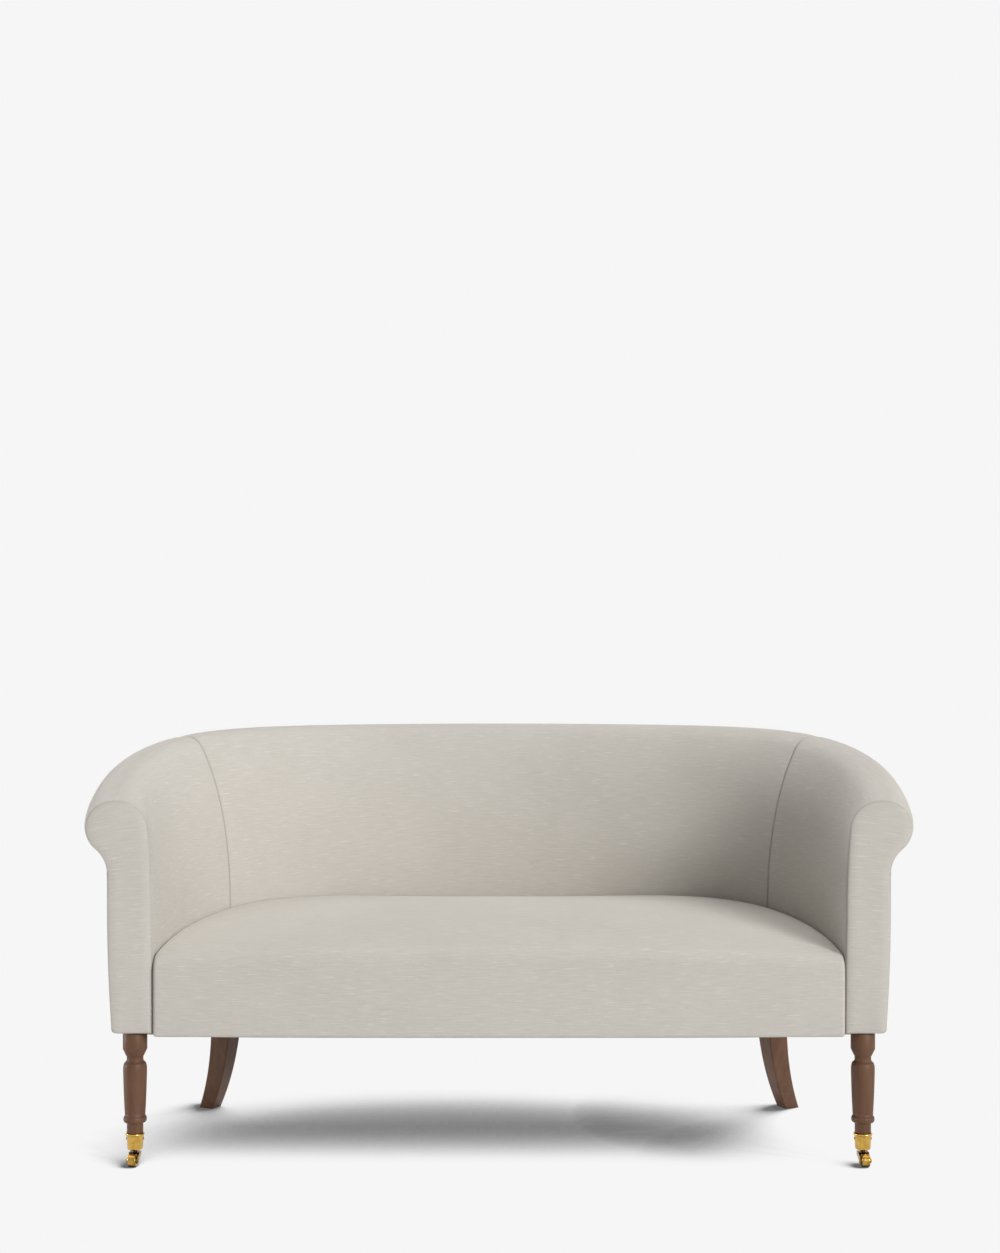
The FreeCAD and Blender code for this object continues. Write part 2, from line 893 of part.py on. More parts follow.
def front_leg():
    """Turned leg: collar, neck, tapering belly, bead and a spigot for the castor cup."""
    top = frame_bottom
    neck = leg_neck_diameter / 2
    ankle = leg_ankle_diameter / 2
    bead = Vector(leg_bead_diameter / 2, cup_top + leg_bead_rise, 0)
    bead_top = bead.y + leg_bead_height / 2
    bead_low = bead.y - leg_bead_height / 2
    neck_high = top - leg_neck_drop + leg_neck_length / 2
    neck_low = top - leg_neck_drop - leg_neck_length / 2
    belly = Vector(leg_belly_diameter / 2, top - leg_belly_drop, 0)
    collar = Vector(leg_collar_diameter / 2, top - leg_collar_length, 0)
    shoulder = Vector((collar.x + neck) / 2, (collar.y + neck_high) / 2, 0)
    swell = Vector(neck + leg_swell_share * (belly.x - neck), 0, 0)
    swell.y = neck_low + leg_swell_drop_share * (belly.y - neck_low)
    taper = Vector((belly.x + ankle) / 2 + leg_taper_share * belly.x, (belly.y + bead_top) / 2, 0)
    runs = [
        [Vector(0, top, 0), Vector(collar.x, top, 0)],
        [Vector(collar.x, top, 0), collar],
        [collar, shoulder, Vector(neck, neck_high, 0)],
        [Vector(neck, neck_high, 0), Vector(neck, neck_low, 0)],
        [Vector(neck, neck_low, 0), swell, belly, taper, Vector(ankle, bead_top, 0)],
        [Vector(ankle, bead_top, 0), bead, Vector(ankle, bead_low, 0)],
        [Vector(ankle, bead_low, 0), Vector(spigot_top, bead_low - leg_cove_height, 0)],
        [Vector(spigot_top, bead_low - leg_cove_height, 0), Vector(spigot_top, cup_top, 0)],
        [Vector(spigot_top, cup_top, 0), Vector(spigot_foot, spigot_end, 0)],
        [Vector(spigot_foot, spigot_end, 0), Vector(0, spigot_end, 0)],
        [Vector(0, spigot_end, 0), Vector(0, top, 0)],
    ]
    place_top = front_leg_place()
    leg = turned(runs, Vector(place_top.x, place_top.y, 0))
    leg = leg.cut(bolt(place_top, bolt_fit))
    for screw in cup_screws(cup_fit):
        leg = leg.cut(screw)
    return leg


def rear_leg():
    """Square leg that tapers and sweeps outward to its foot."""
    wires = []
    normal = direction(rear_leg_face_turn)
    tangent = direction(rear_leg_face_turn + 90)
    for step in range(rear_leg_section_count):
        share = step / (rear_leg_section_count - 1)
        height = frame_bottom * (1 - share)
        half = (rear_leg_top + (rear_leg_foot - rear_leg_top) * share) / 2
        centre = place(corner_post_turn, rear_leg_inset, height)
        centre += direction(rear_leg_splay_turn) * (rear_leg_splay * share ** rear_leg_sweep)
        corners = []
        for out, along in ((-1, -1), (1, -1), (1, 1), (-1, 1)):
            corners.append(centre + normal * (out * half) + tangent * (along * half))
        wires.append(Part.makePolygon(corners + corners[:1]))
    leg = Part.makeLoft(wires, True)
    return leg.cut(bolt(rear_leg_place(), bolt_fit))


# Castors

axle_height = wheel_diameter / 2
fork_low = fork_top - fork_height
wheel_reach = math.sqrt(axle_height ** 2 - (fork_low - axle_height) ** 2)
castor_trail = fork_front + wheel_room + wheel_reach
cheek_inner = wheel_width / 2 + wheel_play
cheek_outer = cheek_inner + cheek_thickness


def castor_axis():
    """Foot of the right castor's swivel axis, on the floor."""
    top = front_leg_place()
    return Vector(top.x, top.y, 0)


def cup_screws(fit=0.0):
    """Two screws through the cup into the leg's spigot, one on each side."""
    axis = castor_axis()
    height = cup_top - cup_screw_drop
    share = cup_screw_drop / (cup_top - cup_bottom)
    wall = (cup_top_diameter + (cup_bottom_diameter - cup_top_diameter) * share) / 2
    screws = []
    for side in (-1, 1):
        out = Vector(side, 0, 0)
        seat = axis + Vector(0, 0, height) + out * (wall + cup_fit)
        shank = Part.makeCylinder(cup_screw_diameter / 2 + fit, cup_screw_length + fit, seat, out * -1)
        head = Part.makeCylinder(cup_screw_head / 2, cup_screw_head_height, seat, out)
        screws.append(shank.fuse(head))
    return screws


def castor_cup():
    """Tapered brass cup with a lip, drilled for its screws and swivel pin."""
    outer_top = cup_top_diameter / 2
    outer_low = cup_bottom_diameter / 2
    lip_low = cup_top - cup_lip_height
    lip = cup_lip_diameter / 2
    floor = cup_bottom + cup_floor
    bore = pin_diameter / 2 + cup_fit
    points = [
        Vector(bore, cup_bottom, 0),
        Vector(outer_low, cup_bottom, 0),
        Vector(outer_top, lip_low, 0),
        Vector(lip, lip_low, 0),
        Vector(lip, cup_top, 0),
        Vector(outer_top - cup_wall, cup_top, 0),
        Vector(outer_low - cup_wall, floor, 0),
        Vector(bore, floor, 0),
    ]
    cup = turned(straight_runs(points), castor_axis())
    for screw in cup_screws(cup_fit):
        cup = cup.cut(screw)
    return cup


def swivel_pin():
    """Pin riveted in the cup's floor, with a head under the fork."""
    radius = pin_diameter / 2
    head = pin_head_diameter / 2
    head_top = fork_low - swivel_play
    head_low = head_top - pin_head_height
    floor = cup_bottom + cup_floor
    collar = cup_bottom - layer_gap
    points = [
        Vector(0, head_low, 0),
        Vector(head, head_low, 0),
        Vector(head, head_top, 0),
        Vector(radius, head_top, 0),
        Vector(radius, fork_top + swivel_play, 0),
        Vector(head, fork_top + swivel_play, 0),
        Vector(head, collar, 0),
        Vector(radius, collar, 0),
        Vector(radius, floor, 0),
        Vector(0, floor, 0),
    ]
    return turned(straight_runs(points), castor_axis())


def castor_point(ahead, across, height):
    """Point of the right castor, measured ahead of the swivel axis along its heading."""
    heading = direction(castor_heading - 90)
    axle = direction(castor_heading)
    return castor_axis() + heading * ahead + axle * across + Vector(0, 0, height)


def castor_plate(points, inner, outer):
    """Upright plate across the castor, from (ahead, height) points."""
    corners = [castor_point(point.x, inner, point.y) for point in points]
    face = Part.Face(Part.makePolygon(corners + corners[:1]))
    return face.extrude(direction(castor_heading) * (outer - inner))


def castor_cylinder(diameter, ahead, inner, outer):
    """Cylinder along the axle's direction."""
    start = castor_point(ahead, inner, axle_height)
    return Part.makeCylinder(diameter / 2, outer - inner, start, direction(castor_heading))


def castor_fork():
    """Horn: a swivel block with two cheeks that carry the axle."""
    block = [
        Vector(-fork_back, fork_low, 0),
        Vector(fork_front, fork_low, 0),
        Vector(fork_front, fork_top, 0),
        Vector(-fork_back, fork_top, 0),
    ]
    fork = castor_plate(block, -cheek_outer, cheek_outer)
    boss = cheek_boss_diameter / 2 * math.sqrt(0.5)
    cheek = [
        Vector(-fork_back, fork_low, 0),
        Vector(castor_trail - boss, axle_height - boss, 0),
        Vector(castor_trail + boss, axle_height + boss, 0),
        Vector(fork_front, fork_top, 0),
        Vector(-fork_back, fork_top, 0),
    ]
    for inner, outer in ((-cheek_outer, -cheek_inner), (cheek_inner, cheek_outer)):
        fork = fork.fuse(castor_plate(cheek, inner, outer))
        fork = fork.fuse(castor_cylinder(cheek_boss_diameter, castor_trail, inner, outer))
    bore = pin_diameter / 2 + pin_play
    fork = fork.cut(Part.makeCylinder(bore, fork_height, castor_point(0, 0, fork_low)))
    axle_bore = axle_diameter + 2 * cup_fit
    return fork.cut(castor_cylinder(axle_bore, castor_trail, -cheek_outer, cheek_outer)).removeSplitter()


def castor_axle():
    """Axle with a flat head outside each cheek."""
    end = cheek_outer + cup_fit
    axle = castor_cylinder(axle_diameter, castor_trail, -end, end)
    for inner, outer in ((-end - axle_head_height, -end), (end, end + axle_head_height)):
        axle = axle.fuse(castor_cylinder(axle_head_diameter, castor_trail, inner, outer))
    return axle.removeSplitter()


def castor_wheel():
    """Flat-treaded wheel with rounded edges."""
    half = wheel_width / 2
    wheel = castor_cylinder(wheel_diameter, castor_trail, -half, half)
    rims = [rim for rim in wheel.Edges if rim.Closed]
    wheel = wheel.makeFillet(wheel_rounding, rims)
    bore = axle_diameter + 2 * pin_play
    return wheel.cut(castor_cylinder(bore, castor_trail, -half, half))


# Write one file for each piece

def both_sides(name, shape):
    """Right-hand piece and its left-hand copy."""
    return {"right_" + name: shape, "left_" + name: mirrored(shape)}


def pair(shape):
    """A right-hand piece and its left-hand copy as one group."""
    return Part.makeCompound([shape, mirrored(shape)])


arm = (0, seam_turn, arm_section_count)
back = (seam_turn, 180 - seam_turn, back_section_count)

pieces = {
    "front_seat_rail": front_rail(),
    "back_seat_rail": back_rail(),
    "seat_cross_rails": cross_rails(),
    "back_ribs": back_ribs(),
    "back_top_rail": wall_solid(top_rail_section, *back),
    "seat_springs": seat_springs(),
    "spring_clips": spring_clips(),
    "spring_hessian": hessian(),
    "seat_foam": seat_foam(),
    "seat_border_pad": border_pad(),
    "seat_cover": seat_cover(),
    "back_foam": wall_solid(foam_section, *back),
    "inside_back_cover": wall_solid(inside_cover_section, *back),
    "outside_back_lining": wall_solid(lining_section, *back),
    "outside_back_cover": wall_solid(outside_cover_section, *back),
    "dust_cover": dust_cover(),
    "front_leg_bolts": pair(bolt(front_leg_place())),
    "rear_leg_bolts": pair(bolt(rear_leg_place())),
    "castor_cup_screws": Part.makeCompound(cup_screws() + [mirrored(s) for s in cup_screws()]),
}
pieces.update(both_sides("side_seat_rail", side_rail()))
pieces.update(both_sides("front_leg_block", leg_block()))
pieces.update(both_sides("rear_corner_post", corner_post()))
pieces.update(both_sides("scroll_board", scroll_board()))
pieces.update(both_sides("arm_rib", rib(arm_rib_turn)))
pieces.update(both_sides("arm_top_rail", behind(wall_solid(top_rail_section, *arm), board_back)))
pieces.update(both_sides("arm_foam", behind(wall_solid(foam_section, *arm), board_back + layer_gap)))
pieces.update(both_sides("inside_arm_cover", wall_solid(inside_cover_section, *arm)))
pieces.update(both_sides("outside_arm_lining", behind(wall_solid(lining_section, *arm), board_back)))
pieces.update(both_sides("outside_arm_cover", wall_solid(outside_cover_section, *arm)))
pieces.update(both_sides("facing_board", facing_board()))
pieces.update(both_sides("arm_facing", facing_cover()))
pieces.update(both_sides("front_leg", front_leg()))
pieces.update(both_sides("rear_leg", rear_leg()))
pieces.update(both_sides("castor_cup", castor_cup()))
pieces.update(both_sides("castor_pin", swivel_pin()))
pieces.update(both_sides("castor_fork", castor_fork()))
pieces.update(both_sides("castor_axle", castor_axle()))
pieces.update(both_sides("castor_wheel", castor_wheel()))

os.makedirs("parts", exist_ok=True)
for name, shape in pieces.items():
    shape.exportStep("parts/" + name + ".step")
    print(name, len(shape.Solids), "solids", shape.isValid(), round(shape.Volume / 1000), "cm3")
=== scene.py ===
import math

import bmesh
import bpy
import numpy as np
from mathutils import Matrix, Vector


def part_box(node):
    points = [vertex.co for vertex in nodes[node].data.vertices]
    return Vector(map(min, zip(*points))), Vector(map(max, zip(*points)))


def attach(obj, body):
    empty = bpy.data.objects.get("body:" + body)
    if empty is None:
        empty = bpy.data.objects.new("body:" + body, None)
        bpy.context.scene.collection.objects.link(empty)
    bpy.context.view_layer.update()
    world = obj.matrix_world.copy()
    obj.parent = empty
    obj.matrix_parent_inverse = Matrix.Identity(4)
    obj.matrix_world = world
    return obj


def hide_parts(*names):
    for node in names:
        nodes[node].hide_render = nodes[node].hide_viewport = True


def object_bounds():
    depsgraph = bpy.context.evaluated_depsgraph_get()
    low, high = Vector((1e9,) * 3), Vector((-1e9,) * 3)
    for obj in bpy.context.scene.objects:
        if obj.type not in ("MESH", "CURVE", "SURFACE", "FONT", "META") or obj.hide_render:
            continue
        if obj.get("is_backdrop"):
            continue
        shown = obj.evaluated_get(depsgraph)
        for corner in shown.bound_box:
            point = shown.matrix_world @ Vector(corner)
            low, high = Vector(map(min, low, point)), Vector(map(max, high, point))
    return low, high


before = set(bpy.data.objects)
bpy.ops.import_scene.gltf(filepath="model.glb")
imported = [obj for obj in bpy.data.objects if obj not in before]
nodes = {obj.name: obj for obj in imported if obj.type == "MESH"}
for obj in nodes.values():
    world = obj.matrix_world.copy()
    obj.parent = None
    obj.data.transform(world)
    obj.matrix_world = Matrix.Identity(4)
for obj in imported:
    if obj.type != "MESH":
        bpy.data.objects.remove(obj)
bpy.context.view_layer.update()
scene = bpy.context.scene


# Hardwood frame
# Beech rails, blocks, posts and ribs, sawn and left raw because the covers hide them. They are glued
# and dowelled to each other, and carry the springs, the boards and the legs.

beech_pale = (0.58, 0.40, 0.24)
beech_dark = (0.42, 0.27, 0.15)
beech_grain = (14, 60, 60)
grain_pores = 5
grain_streak_share = 0.75
grain_tones = (0.34, 0.62)
grain_depth = 0.0004


def add_node(tree, kind, inputs=None, **settings):
    """Node of a kind, with its inputs set to values or linked from other nodes' sockets."""
    made = tree.nodes.new(kind)
    for name, value in settings.items():
        setattr(made, name, value)
    for name, value in (inputs or {}).items():
        if isinstance(value, bpy.types.NodeSocket):
            tree.links.new(value, made.inputs[name])
        else:
            made.inputs[name].default_value = value
    return made


def start_material(name, values):
    """New material with a principled shader whose plain sockets are set by name."""
    made = bpy.data.materials.new(name)
    made.use_nodes = True
    shader = made.node_tree.nodes["Principled BSDF"]
    for socket, value in values.items():
        shader.inputs[socket].default_value = value
    return made, made.node_tree, shader


def colour_ramp(tree, value, stops):
    """Colours blended by a value, from stops of (place, colour)."""
    ramp = add_node(tree, "ShaderNodeValToRGB", {"Fac": value})
    marks = ramp.color_ramp.elements
    while len(marks) < len(stops):
        marks.new(1.0)
    for mark, (place, colour) in zip(marks, stops):
        mark.position = place
        mark.color = (*colour, 1.0)
    return ramp.outputs["Color"]


def stretched_noise(tree, vector, stretch, detail, roughness=0.5):
    """Noise whose grain is stretched by a scale along each axis."""
    turned = add_node(tree, "ShaderNodeMapping", {"Vector": vector, "Scale": stretch})
    noise = add_node(tree, "ShaderNodeTexNoise", {
        "Vector": turned.outputs["Vector"], "Scale": 1.0, "Detail": detail, "Roughness": roughness})
    return noise.outputs["Fac"]


def math_node(tree, operation, first, second):
    """Sum, product or other result of two values or sockets."""
    made = add_node(tree, "ShaderNodeMath", {0: first, 1: second}, operation=operation)
    return made.outputs["Value"]


def add_bump(tree, shader, height, strength, distance):
    """Fine relief on the shader from a height."""
    relief = add_node(tree, "ShaderNodeBump", {"Height": height, "Strength": strength, "Distance": distance})
    tree.links.new(relief.outputs["Normal"], shader.inputs["Normal"])


def grained_wood(name, pale, dark, grain, values, relief):
    """Wood with streaks along its grain, from two colours and a stretch of the grain."""
    made, tree, shader = start_material(name, values)
    place = add_node(tree, "ShaderNodeTexCoord").outputs["Object"]
    streaks = stretched_noise(tree, place, grain, 6.0, 0.6)
    pores = stretched_noise(tree, place, tuple(grain_pores * scale for scale in grain), 3.0)
    streaks = math_node(tree, "MULTIPLY", streaks, grain_streak_share)
    pores = math_node(tree, "MULTIPLY", pores, 1 - grain_streak_share)
    mixed = math_node(tree, "ADD", streaks, pores)
    tones = colour_ramp(tree, mixed, list(zip(grain_tones, (dark, pale))))
    tree.links.new(tones, shader.inputs["Base Color"])
    add_bump(tree, shader, mixed, relief, grain_depth)
    return made


def dress(material, *names):
    """Gives CAD nodes a material."""
    for name in names:
        mesh = nodes[name].data
        mesh.materials.clear()
        mesh.materials.append(material)


raw_beech = grained_wood("raw_beech", beech_pale, beech_dark, beech_grain, {"Roughness": 0.72}, 0.3)
dress(raw_beech, "front_seat_rail", "back_seat_rail", "seat_cross_rails", "back_ribs", "back_top_rail")
for side in ("left_", "right_"):
    dress(raw_beech, side + "side_seat_rail", side + "front_leg_block", side + "rear_corner_post",
          side + "scroll_board", side + "arm_rib", side + "arm_top_rail")


# Seat springs, their clips and the leg bolts
# Serpentine springs of drawn steel wire, held on the rails by bent sheet clips, and steel studs through
# the joint of each leg. All have a dull grey drawn finish.

steel_grey = (0.42, 0.43, 0.45)
steel_dark = (0.27, 0.28, 0.30)
steel_speckle = 420
steel_depth = 0.0002


def speckled(name, values, scale, detail, tones, relief, depth, roughness=0.5):
    """Material with an even speckle of two tones at a scale, and a fine relief from it."""
    made, tree, shader = start_material(name, values)
    place = add_node(tree, "ShaderNodeTexCoord").outputs["Object"]
    speckle = stretched_noise(tree, place, (scale, scale, scale), detail, roughness)
    tree.links.new(colour_ramp(tree, speckle, tones), shader.inputs["Base Color"])
    add_bump(tree, shader, speckle, relief, depth)
    return made


drawn_steel = speckled("drawn_steel", {"Metallic": 1.0, "Roughness": 0.38}, steel_speckle, 4.0,
                       [(0.3, steel_dark), (0.7, steel_grey)], 0.15, steel_depth)
dress(drawn_steel, "seat_springs", "spring_clips", "front_leg_bolts", "rear_leg_bolts")


# Boards behind the fabric
# Thin brown fibreboard, stapled to the frame. It lines the outside of the arms and back, so that the
# linen there lies flat.

board_pale = (0.36, 0.25, 0.15)
board_dark = (0.27, 0.18, 0.10)
board_fibres = 260
board_depth = 0.0004

fibreboard = speckled("fibreboard", {"Roughness": 0.85}, board_fibres, 5.0,
                      [(0.35, board_dark), (0.65, board_pale)], 0.4, board_depth, 0.7)
dress(fibreboard, "outside_back_lining")
for side in ("left_", "right_"):
    dress(fibreboard, side + "outside_arm_lining")


# Hessian over the springs
# Coarse jute cloth stretched tight over the springs and tacked to the rails, so that the foam can't
# work down between the wires. Its plan is the seat's, which the curved wall sets.

side_radius = 0.726
side_turn = 15.0
corner_radius = 0.460
corner_turn = 72.0
half_width = 0.668
facing_depth = 0.006
seat_corner_turn = 47.0
hessian_brown = (0.43, 0.32, 0.19)
hessian_shade = (0.24, 0.17, 0.09)
hessian_gap = 0.0033
hessian_front = 0.0275
hessian_sag = 0.0003
hessian_dips = 16
hessian_rows = 40
hessian_columns = 80
hessian_thread = 0.0022
# Width over which shade is painted into the linen along every edge and seam.
seam_shade_width = 0.0016
turn_steps = 3601


def direction(turn):
    """Unit vector in the plan at an angle in degrees from +X."""
    return np.array([math.cos(math.radians(turn)), math.sin(math.radians(turn))])


side_centre = np.array([half_width - side_radius, facing_depth])
corner_centre = side_centre + direction(side_turn) * (side_radius - corner_radius)
back_radius = corner_radius + corner_centre[0] / direction(corner_turn)[0]
back_centre = corner_centre + direction(corner_turn) * (corner_radius - back_radius)
front_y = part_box("right_arm_facing")[0].y


def plan(turn, offset):
    """Plan point (x, y) on the inside line of the wall, moved outward by an offset.

    The turn is 0 at the front of the right arm, 90 at the middle of the back and 180 at the left arm.
    """
    turn, offset = np.broadcast_arrays(np.asarray(turn, float), np.asarray(offset, float))
    half = np.minimum(turn, 180 - turn)
    rounding = [half < side_turn, half < corner_turn]
    centre_x = np.select(rounding, [side_centre[0], corner_centre[0]], back_centre[0])
    centre_y = np.select(rounding, [side_centre[1], corner_centre[1]], back_centre[1])
    radius = np.select(rounding, [side_radius, corner_radius], back_radius) + offset
    x = centre_x + radius * np.cos(np.radians(half))
    depth = centre_y + radius * np.sin(np.radians(half))
    return np.where(turn > 90, -x, x), front_y + depth


def wall_length(turn):
    """Length along the inside line of the wall from the front of the right arm."""
    half = np.minimum(turn, 180 - np.asarray(turn, float))
    length = side_radius * np.radians(np.minimum(half, side_turn))
    length = length + corner_radius * np.radians(np.clip(half - side_turn, 0, corner_turn - side_turn))
    length = length + back_radius * np.radians(np.maximum(half - corner_turn, 0))
    return np.where(np.asarray(turn) > 90, 2 * half_length - length, length)


half_length = side_radius * math.radians(side_turn)
half_length += corner_radius * math.radians(corner_turn - side_turn)
half_length += back_radius * math.radians(90 - corner_turn)


def turns_between(first, last, shares):
    """Turns from first to last whose places along the wall are at the given shares."""
    table = np.linspace(0, 180, turn_steps)
    start, end = wall_length(np.array([first, last], float))
    return np.interp(start + (end - start) * shares, wall_length(table), table)


def end_weighted(count, weight):
    """Shares from 0 to 1 that crowd towards both ends, so that rolled edges are smooth."""
    even = np.linspace(0, 1, count)
    return weight * (1 - np.cos(math.pi * even)) / 2 + (1 - weight) * even


def seat_patch(offset, front, rows, columns):
    """Plan grid over the seat, from a front line of (x, y) points to the wall at an offset."""
    start = math.degrees(math.asin((front[-1, 1] - front_y - facing_depth) / (side_radius + offset)))
    right = np.stack(plan(turns_between(start, seat_corner_turn, rows), offset), axis=-1)
    left = right * (-1, 1)
    back = np.stack(plan(turns_between(180 - seat_corner_turn, seat_corner_turn, columns), offset), axis=-1)
    down = rows[:, None, None]
    across = columns[None, :, None]
    patch = (1 - down) * front[None] + down * back[None]
    patch = patch + (1 - across) * left[:, None] + across * right[:, None]
    patch = patch - (1 - across) * ((1 - down) * left[0] + down * left[-1])
    return patch - across * ((1 - down) * right[0] + down * right[-1])


def level_sheet(offset, front_depth, row_count, column_count):
    """Plan grid of a sheet across the seat, from a straight front line to the wall at an offset."""
    columns = np.linspace(0, 1, column_count)
    across = (half_width + offset) * (2 * columns - 1)
    front = np.stack([across, np.full(column_count, front_y + front_depth)], axis=-1)
    return seat_patch(offset, front, np.linspace(0, 1, row_count), columns)


def edge_distances(points):
    """Distances of each grid point from the first and last column and the first and last row."""
    across = np.linalg.norm(np.diff(points, axis=1), axis=2)
    up = np.linalg.norm(np.diff(points, axis=0), axis=2)
    across = np.pad(np.cumsum(across, axis=1), ((0, 0), (1, 0)))
    up = np.pad(np.cumsum(up, axis=0), ((1, 0), (0, 0)))
    return across, across[:, -1:] - across, up, up[-1:] - up


def rolled_under(distance, width, depth):
    """How far the surface has turned down at a distance from an edge rolled over a width to a depth."""
    return depth * (1 - np.sqrt(1 - np.clip(1 - distance / width, 0, 1) ** 2))


def edge_fall(points, radii):
    """Fall of the surface at its four edges, in the order of edge_distances."""
    falls = [rolled_under(away, radius, radius) for away, radius in zip(edge_distances(points), radii)]
    return np.max(falls, axis=0)


def grid_normals(points):
    """Outward normals of a grid whose columns run to the right and rows run up, seen from outside."""
    normals = np.cross(np.gradient(points, axis=1), np.gradient(points, axis=0))
    return normals / np.linalg.norm(normals, axis=2, keepdims=True)


def grid_faces(rows, columns):
    """Point numbers of a grid, and its four-sided faces."""
    index = np.arange(rows * columns).reshape(rows, columns)
    corners = [index[:-1, :-1], index[:-1, 1:], index[1:, 1:], index[1:, :-1]]
    return index, np.stack(corners, axis=-1).reshape(-1, 4)


def new_piece(name, points, faces, edges=()):
    """Piece in the scene from its points, faces and loose edges."""
    mesh = bpy.data.meshes.new(name)
    mesh.from_pydata(points, edges, faces)
    made = bpy.data.objects.new(name, mesh)
    scene.collection.objects.link(made)
    return made


def closed_panel(name, points, fall, depth, material, away=None):
    """Closed panel of a depth below a grid of points, with the weave mapped in metres along its surface.

    Its attribute of painted seam shade is 1 at the edge and fades inward, by the distances away from the
    edge.
    """
    rows, columns = points.shape[:2]
    if away is None:
        away = np.min(edge_distances(points), axis=0)
    # Painted shade along the seams: 1 at the edge and fading inward. The hidden inner face gets 1.
    painted_seam_shade = np.exp(-away / seam_shade_width).ravel()
    normals = grid_normals(points)
    outer = points - normals * fall[..., None]
    inner = points - normals * depth
    index, face = grid_faces(rows, columns)
    rim = np.concatenate([index[0, :-1], index[:-1, -1], index[-1, :0:-1], index[:0:-1, 0]])
    after = np.roll(rim, -1)
    below = rows * columns
    sides = np.stack([after, rim, rim + below, after + below], axis=-1)
    faces = np.concatenate([face, face[:, ::-1] + below, sides])
    made = new_piece(name, np.concatenate([outer.reshape(-1, 3), inner.reshape(-1, 3)]), faces.tolist())
    mesh = made.data
    along = edge_distances(points)[0][rows // 2]
    up = edge_distances(points)[2]
    woven = np.stack([np.broadcast_to(along, up.shape), up], axis=-1).reshape(-1, 2)
    corners = np.zeros(len(mesh.loops), dtype=np.int32)
    mesh.loops.foreach_get("vertex_index", corners)
    weave = mesh.uv_layers.new(name="weave")
    weave.data.foreach_set("uv", np.concatenate([woven, woven])[corners].astype(np.float32).ravel())
    seam_shade_layer = mesh.attributes.new("painted_seam_shade", "FLOAT", "POINT")
    seam_shade_layer.data.foreach_set("value", np.concatenate([painted_seam_shade, np.ones_like(painted_seam_shade)]).astype(np.float32))
    mesh.shade_smooth()
    mesh.materials.append(material)
    return made


def woven_threads(tree, place, thread):
    """Height of a plain weave whose threads have a width."""
    parts = add_node(tree, "ShaderNodeSeparateXYZ", {"Vector": place})
    waves = []
    for axis in ("X", "Y"):
        turns = math_node(tree, "MULTIPLY", parts.outputs[axis], math.pi / thread)
        waves.append(math_node(tree, "SINE", turns, 0.0))
    return math_node(tree, "MULTIPLY", waves[0], waves[1])


def plain_weave(name, thread, pale, dark, values, relief):
    """Plain weave on the piece's own weave map, from a thread's width and two colours."""
    made, tree, shader = start_material(name, values)
    place = add_node(tree, "ShaderNodeUVMap", uv_map="weave").outputs["UV"]
    over = woven_threads(tree, place, thread)
    tree.links.new(colour_ramp(tree, over, [(0.0, dark), (0.4, pale)]), shader.inputs["Base Color"])
    add_bump(tree, shader, over, relief, thread / 4)
    return made


jute_cloth = plain_weave("jute_cloth", hessian_thread, hessian_brown, hessian_shade, {"Roughness": 0.95}, 0.8)
sheet = level_sheet(-hessian_gap, hessian_front, hessian_rows, hessian_columns)
low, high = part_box("spring_hessian")
dips = hessian_sag * np.cos(sheet[..., :1] * hessian_dips * math.pi / half_width)
sheet = np.concatenate([sheet, high.z + dips - hessian_sag], axis=-1)
hessian = closed_panel("hessian_sheet", sheet, np.zeros(sheet.shape[:2]), high.z - low.z, jute_cloth)
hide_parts("spring_hessian")
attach(hessian, "sofa")


# Crowned seat
# Foam on the hessian under one linen cover, drawn down tight over a soft front edge and tacked under
# the front rail. It has no loose cushion and no seam along its front.

linen_pale = (0.612, 0.580, 0.532)
linen_mid = (0.553, 0.522, 0.474)
linen_dark = (0.495, 0.464, 0.417)
linen_slub = (0.665, 0.633, 0.586)
# Painted shade along the seams: its dark colour, and the most of it that is mixed in at an edge.
linen_seam_shade = (0.23, 0.21, 0.185)
linen_seam_shade_share = 0.34
linen_thread = 0.0008
linen_slubs = (26, 620, 1)
linen_fine_weft = (150, 2400, 1)
linen_fine_warp = (1900, 90, 1)
linen_clouds = (5, 7, 1)
linen_shares = (0.46, 0.24, 0.16, 0.14)
linen_tones = (0.34, 0.50, 0.64)
linen_thick_slubs = (28, 380, 1)
linen_thick_range = (0.60, 0.72)
linen_thick_share = 0.8
linen_thick_rise = 0.3
linen_weave_rise = 0.35
linen_depth = 0.0006
seat_gap = 0.001
seat_front_bottom = 0.2558
seat_proud = 0.006
seat_bow = 0.0125
seat_roll_radius = 0.032
seat_front_height = 0.4308
seat_crest_height = 0.4718
seat_crest_depth = 0.330
seat_back_height = 0.4478
seat_side_height = 0.4098
seat_side_slope = 0.108
seat_depth = back_centre[1] + back_radius
seat_flange = 0.024
seat_hem_radius = 0.004
seat_edge_radius = 0.007
seat_panel_depth = 0.030
seat_hem_points = 6
seat_roll_points = 16
seat_columns = 210
seat_front_rows = 46
seat_crown_rows = 80
slope_step = 0.001
cloth_rows = 48
cloth_columns = 84
cloth_frames = 20
cloth_pressure = 4.0
cloth_stiffness = 60.0
cloth_sink = 0.005
cloth_sink_ramp = 0.22
cloth_cap = 0.006
cloth_edge = 0.05


def mixed_colour(tree, share, first, second):
    """Colour between two colours, by a share."""
    made = add_node(tree, "ShaderNodeMix", {0: share, 6: first, 7: second}, data_type="RGBA")
    return made.outputs[2]


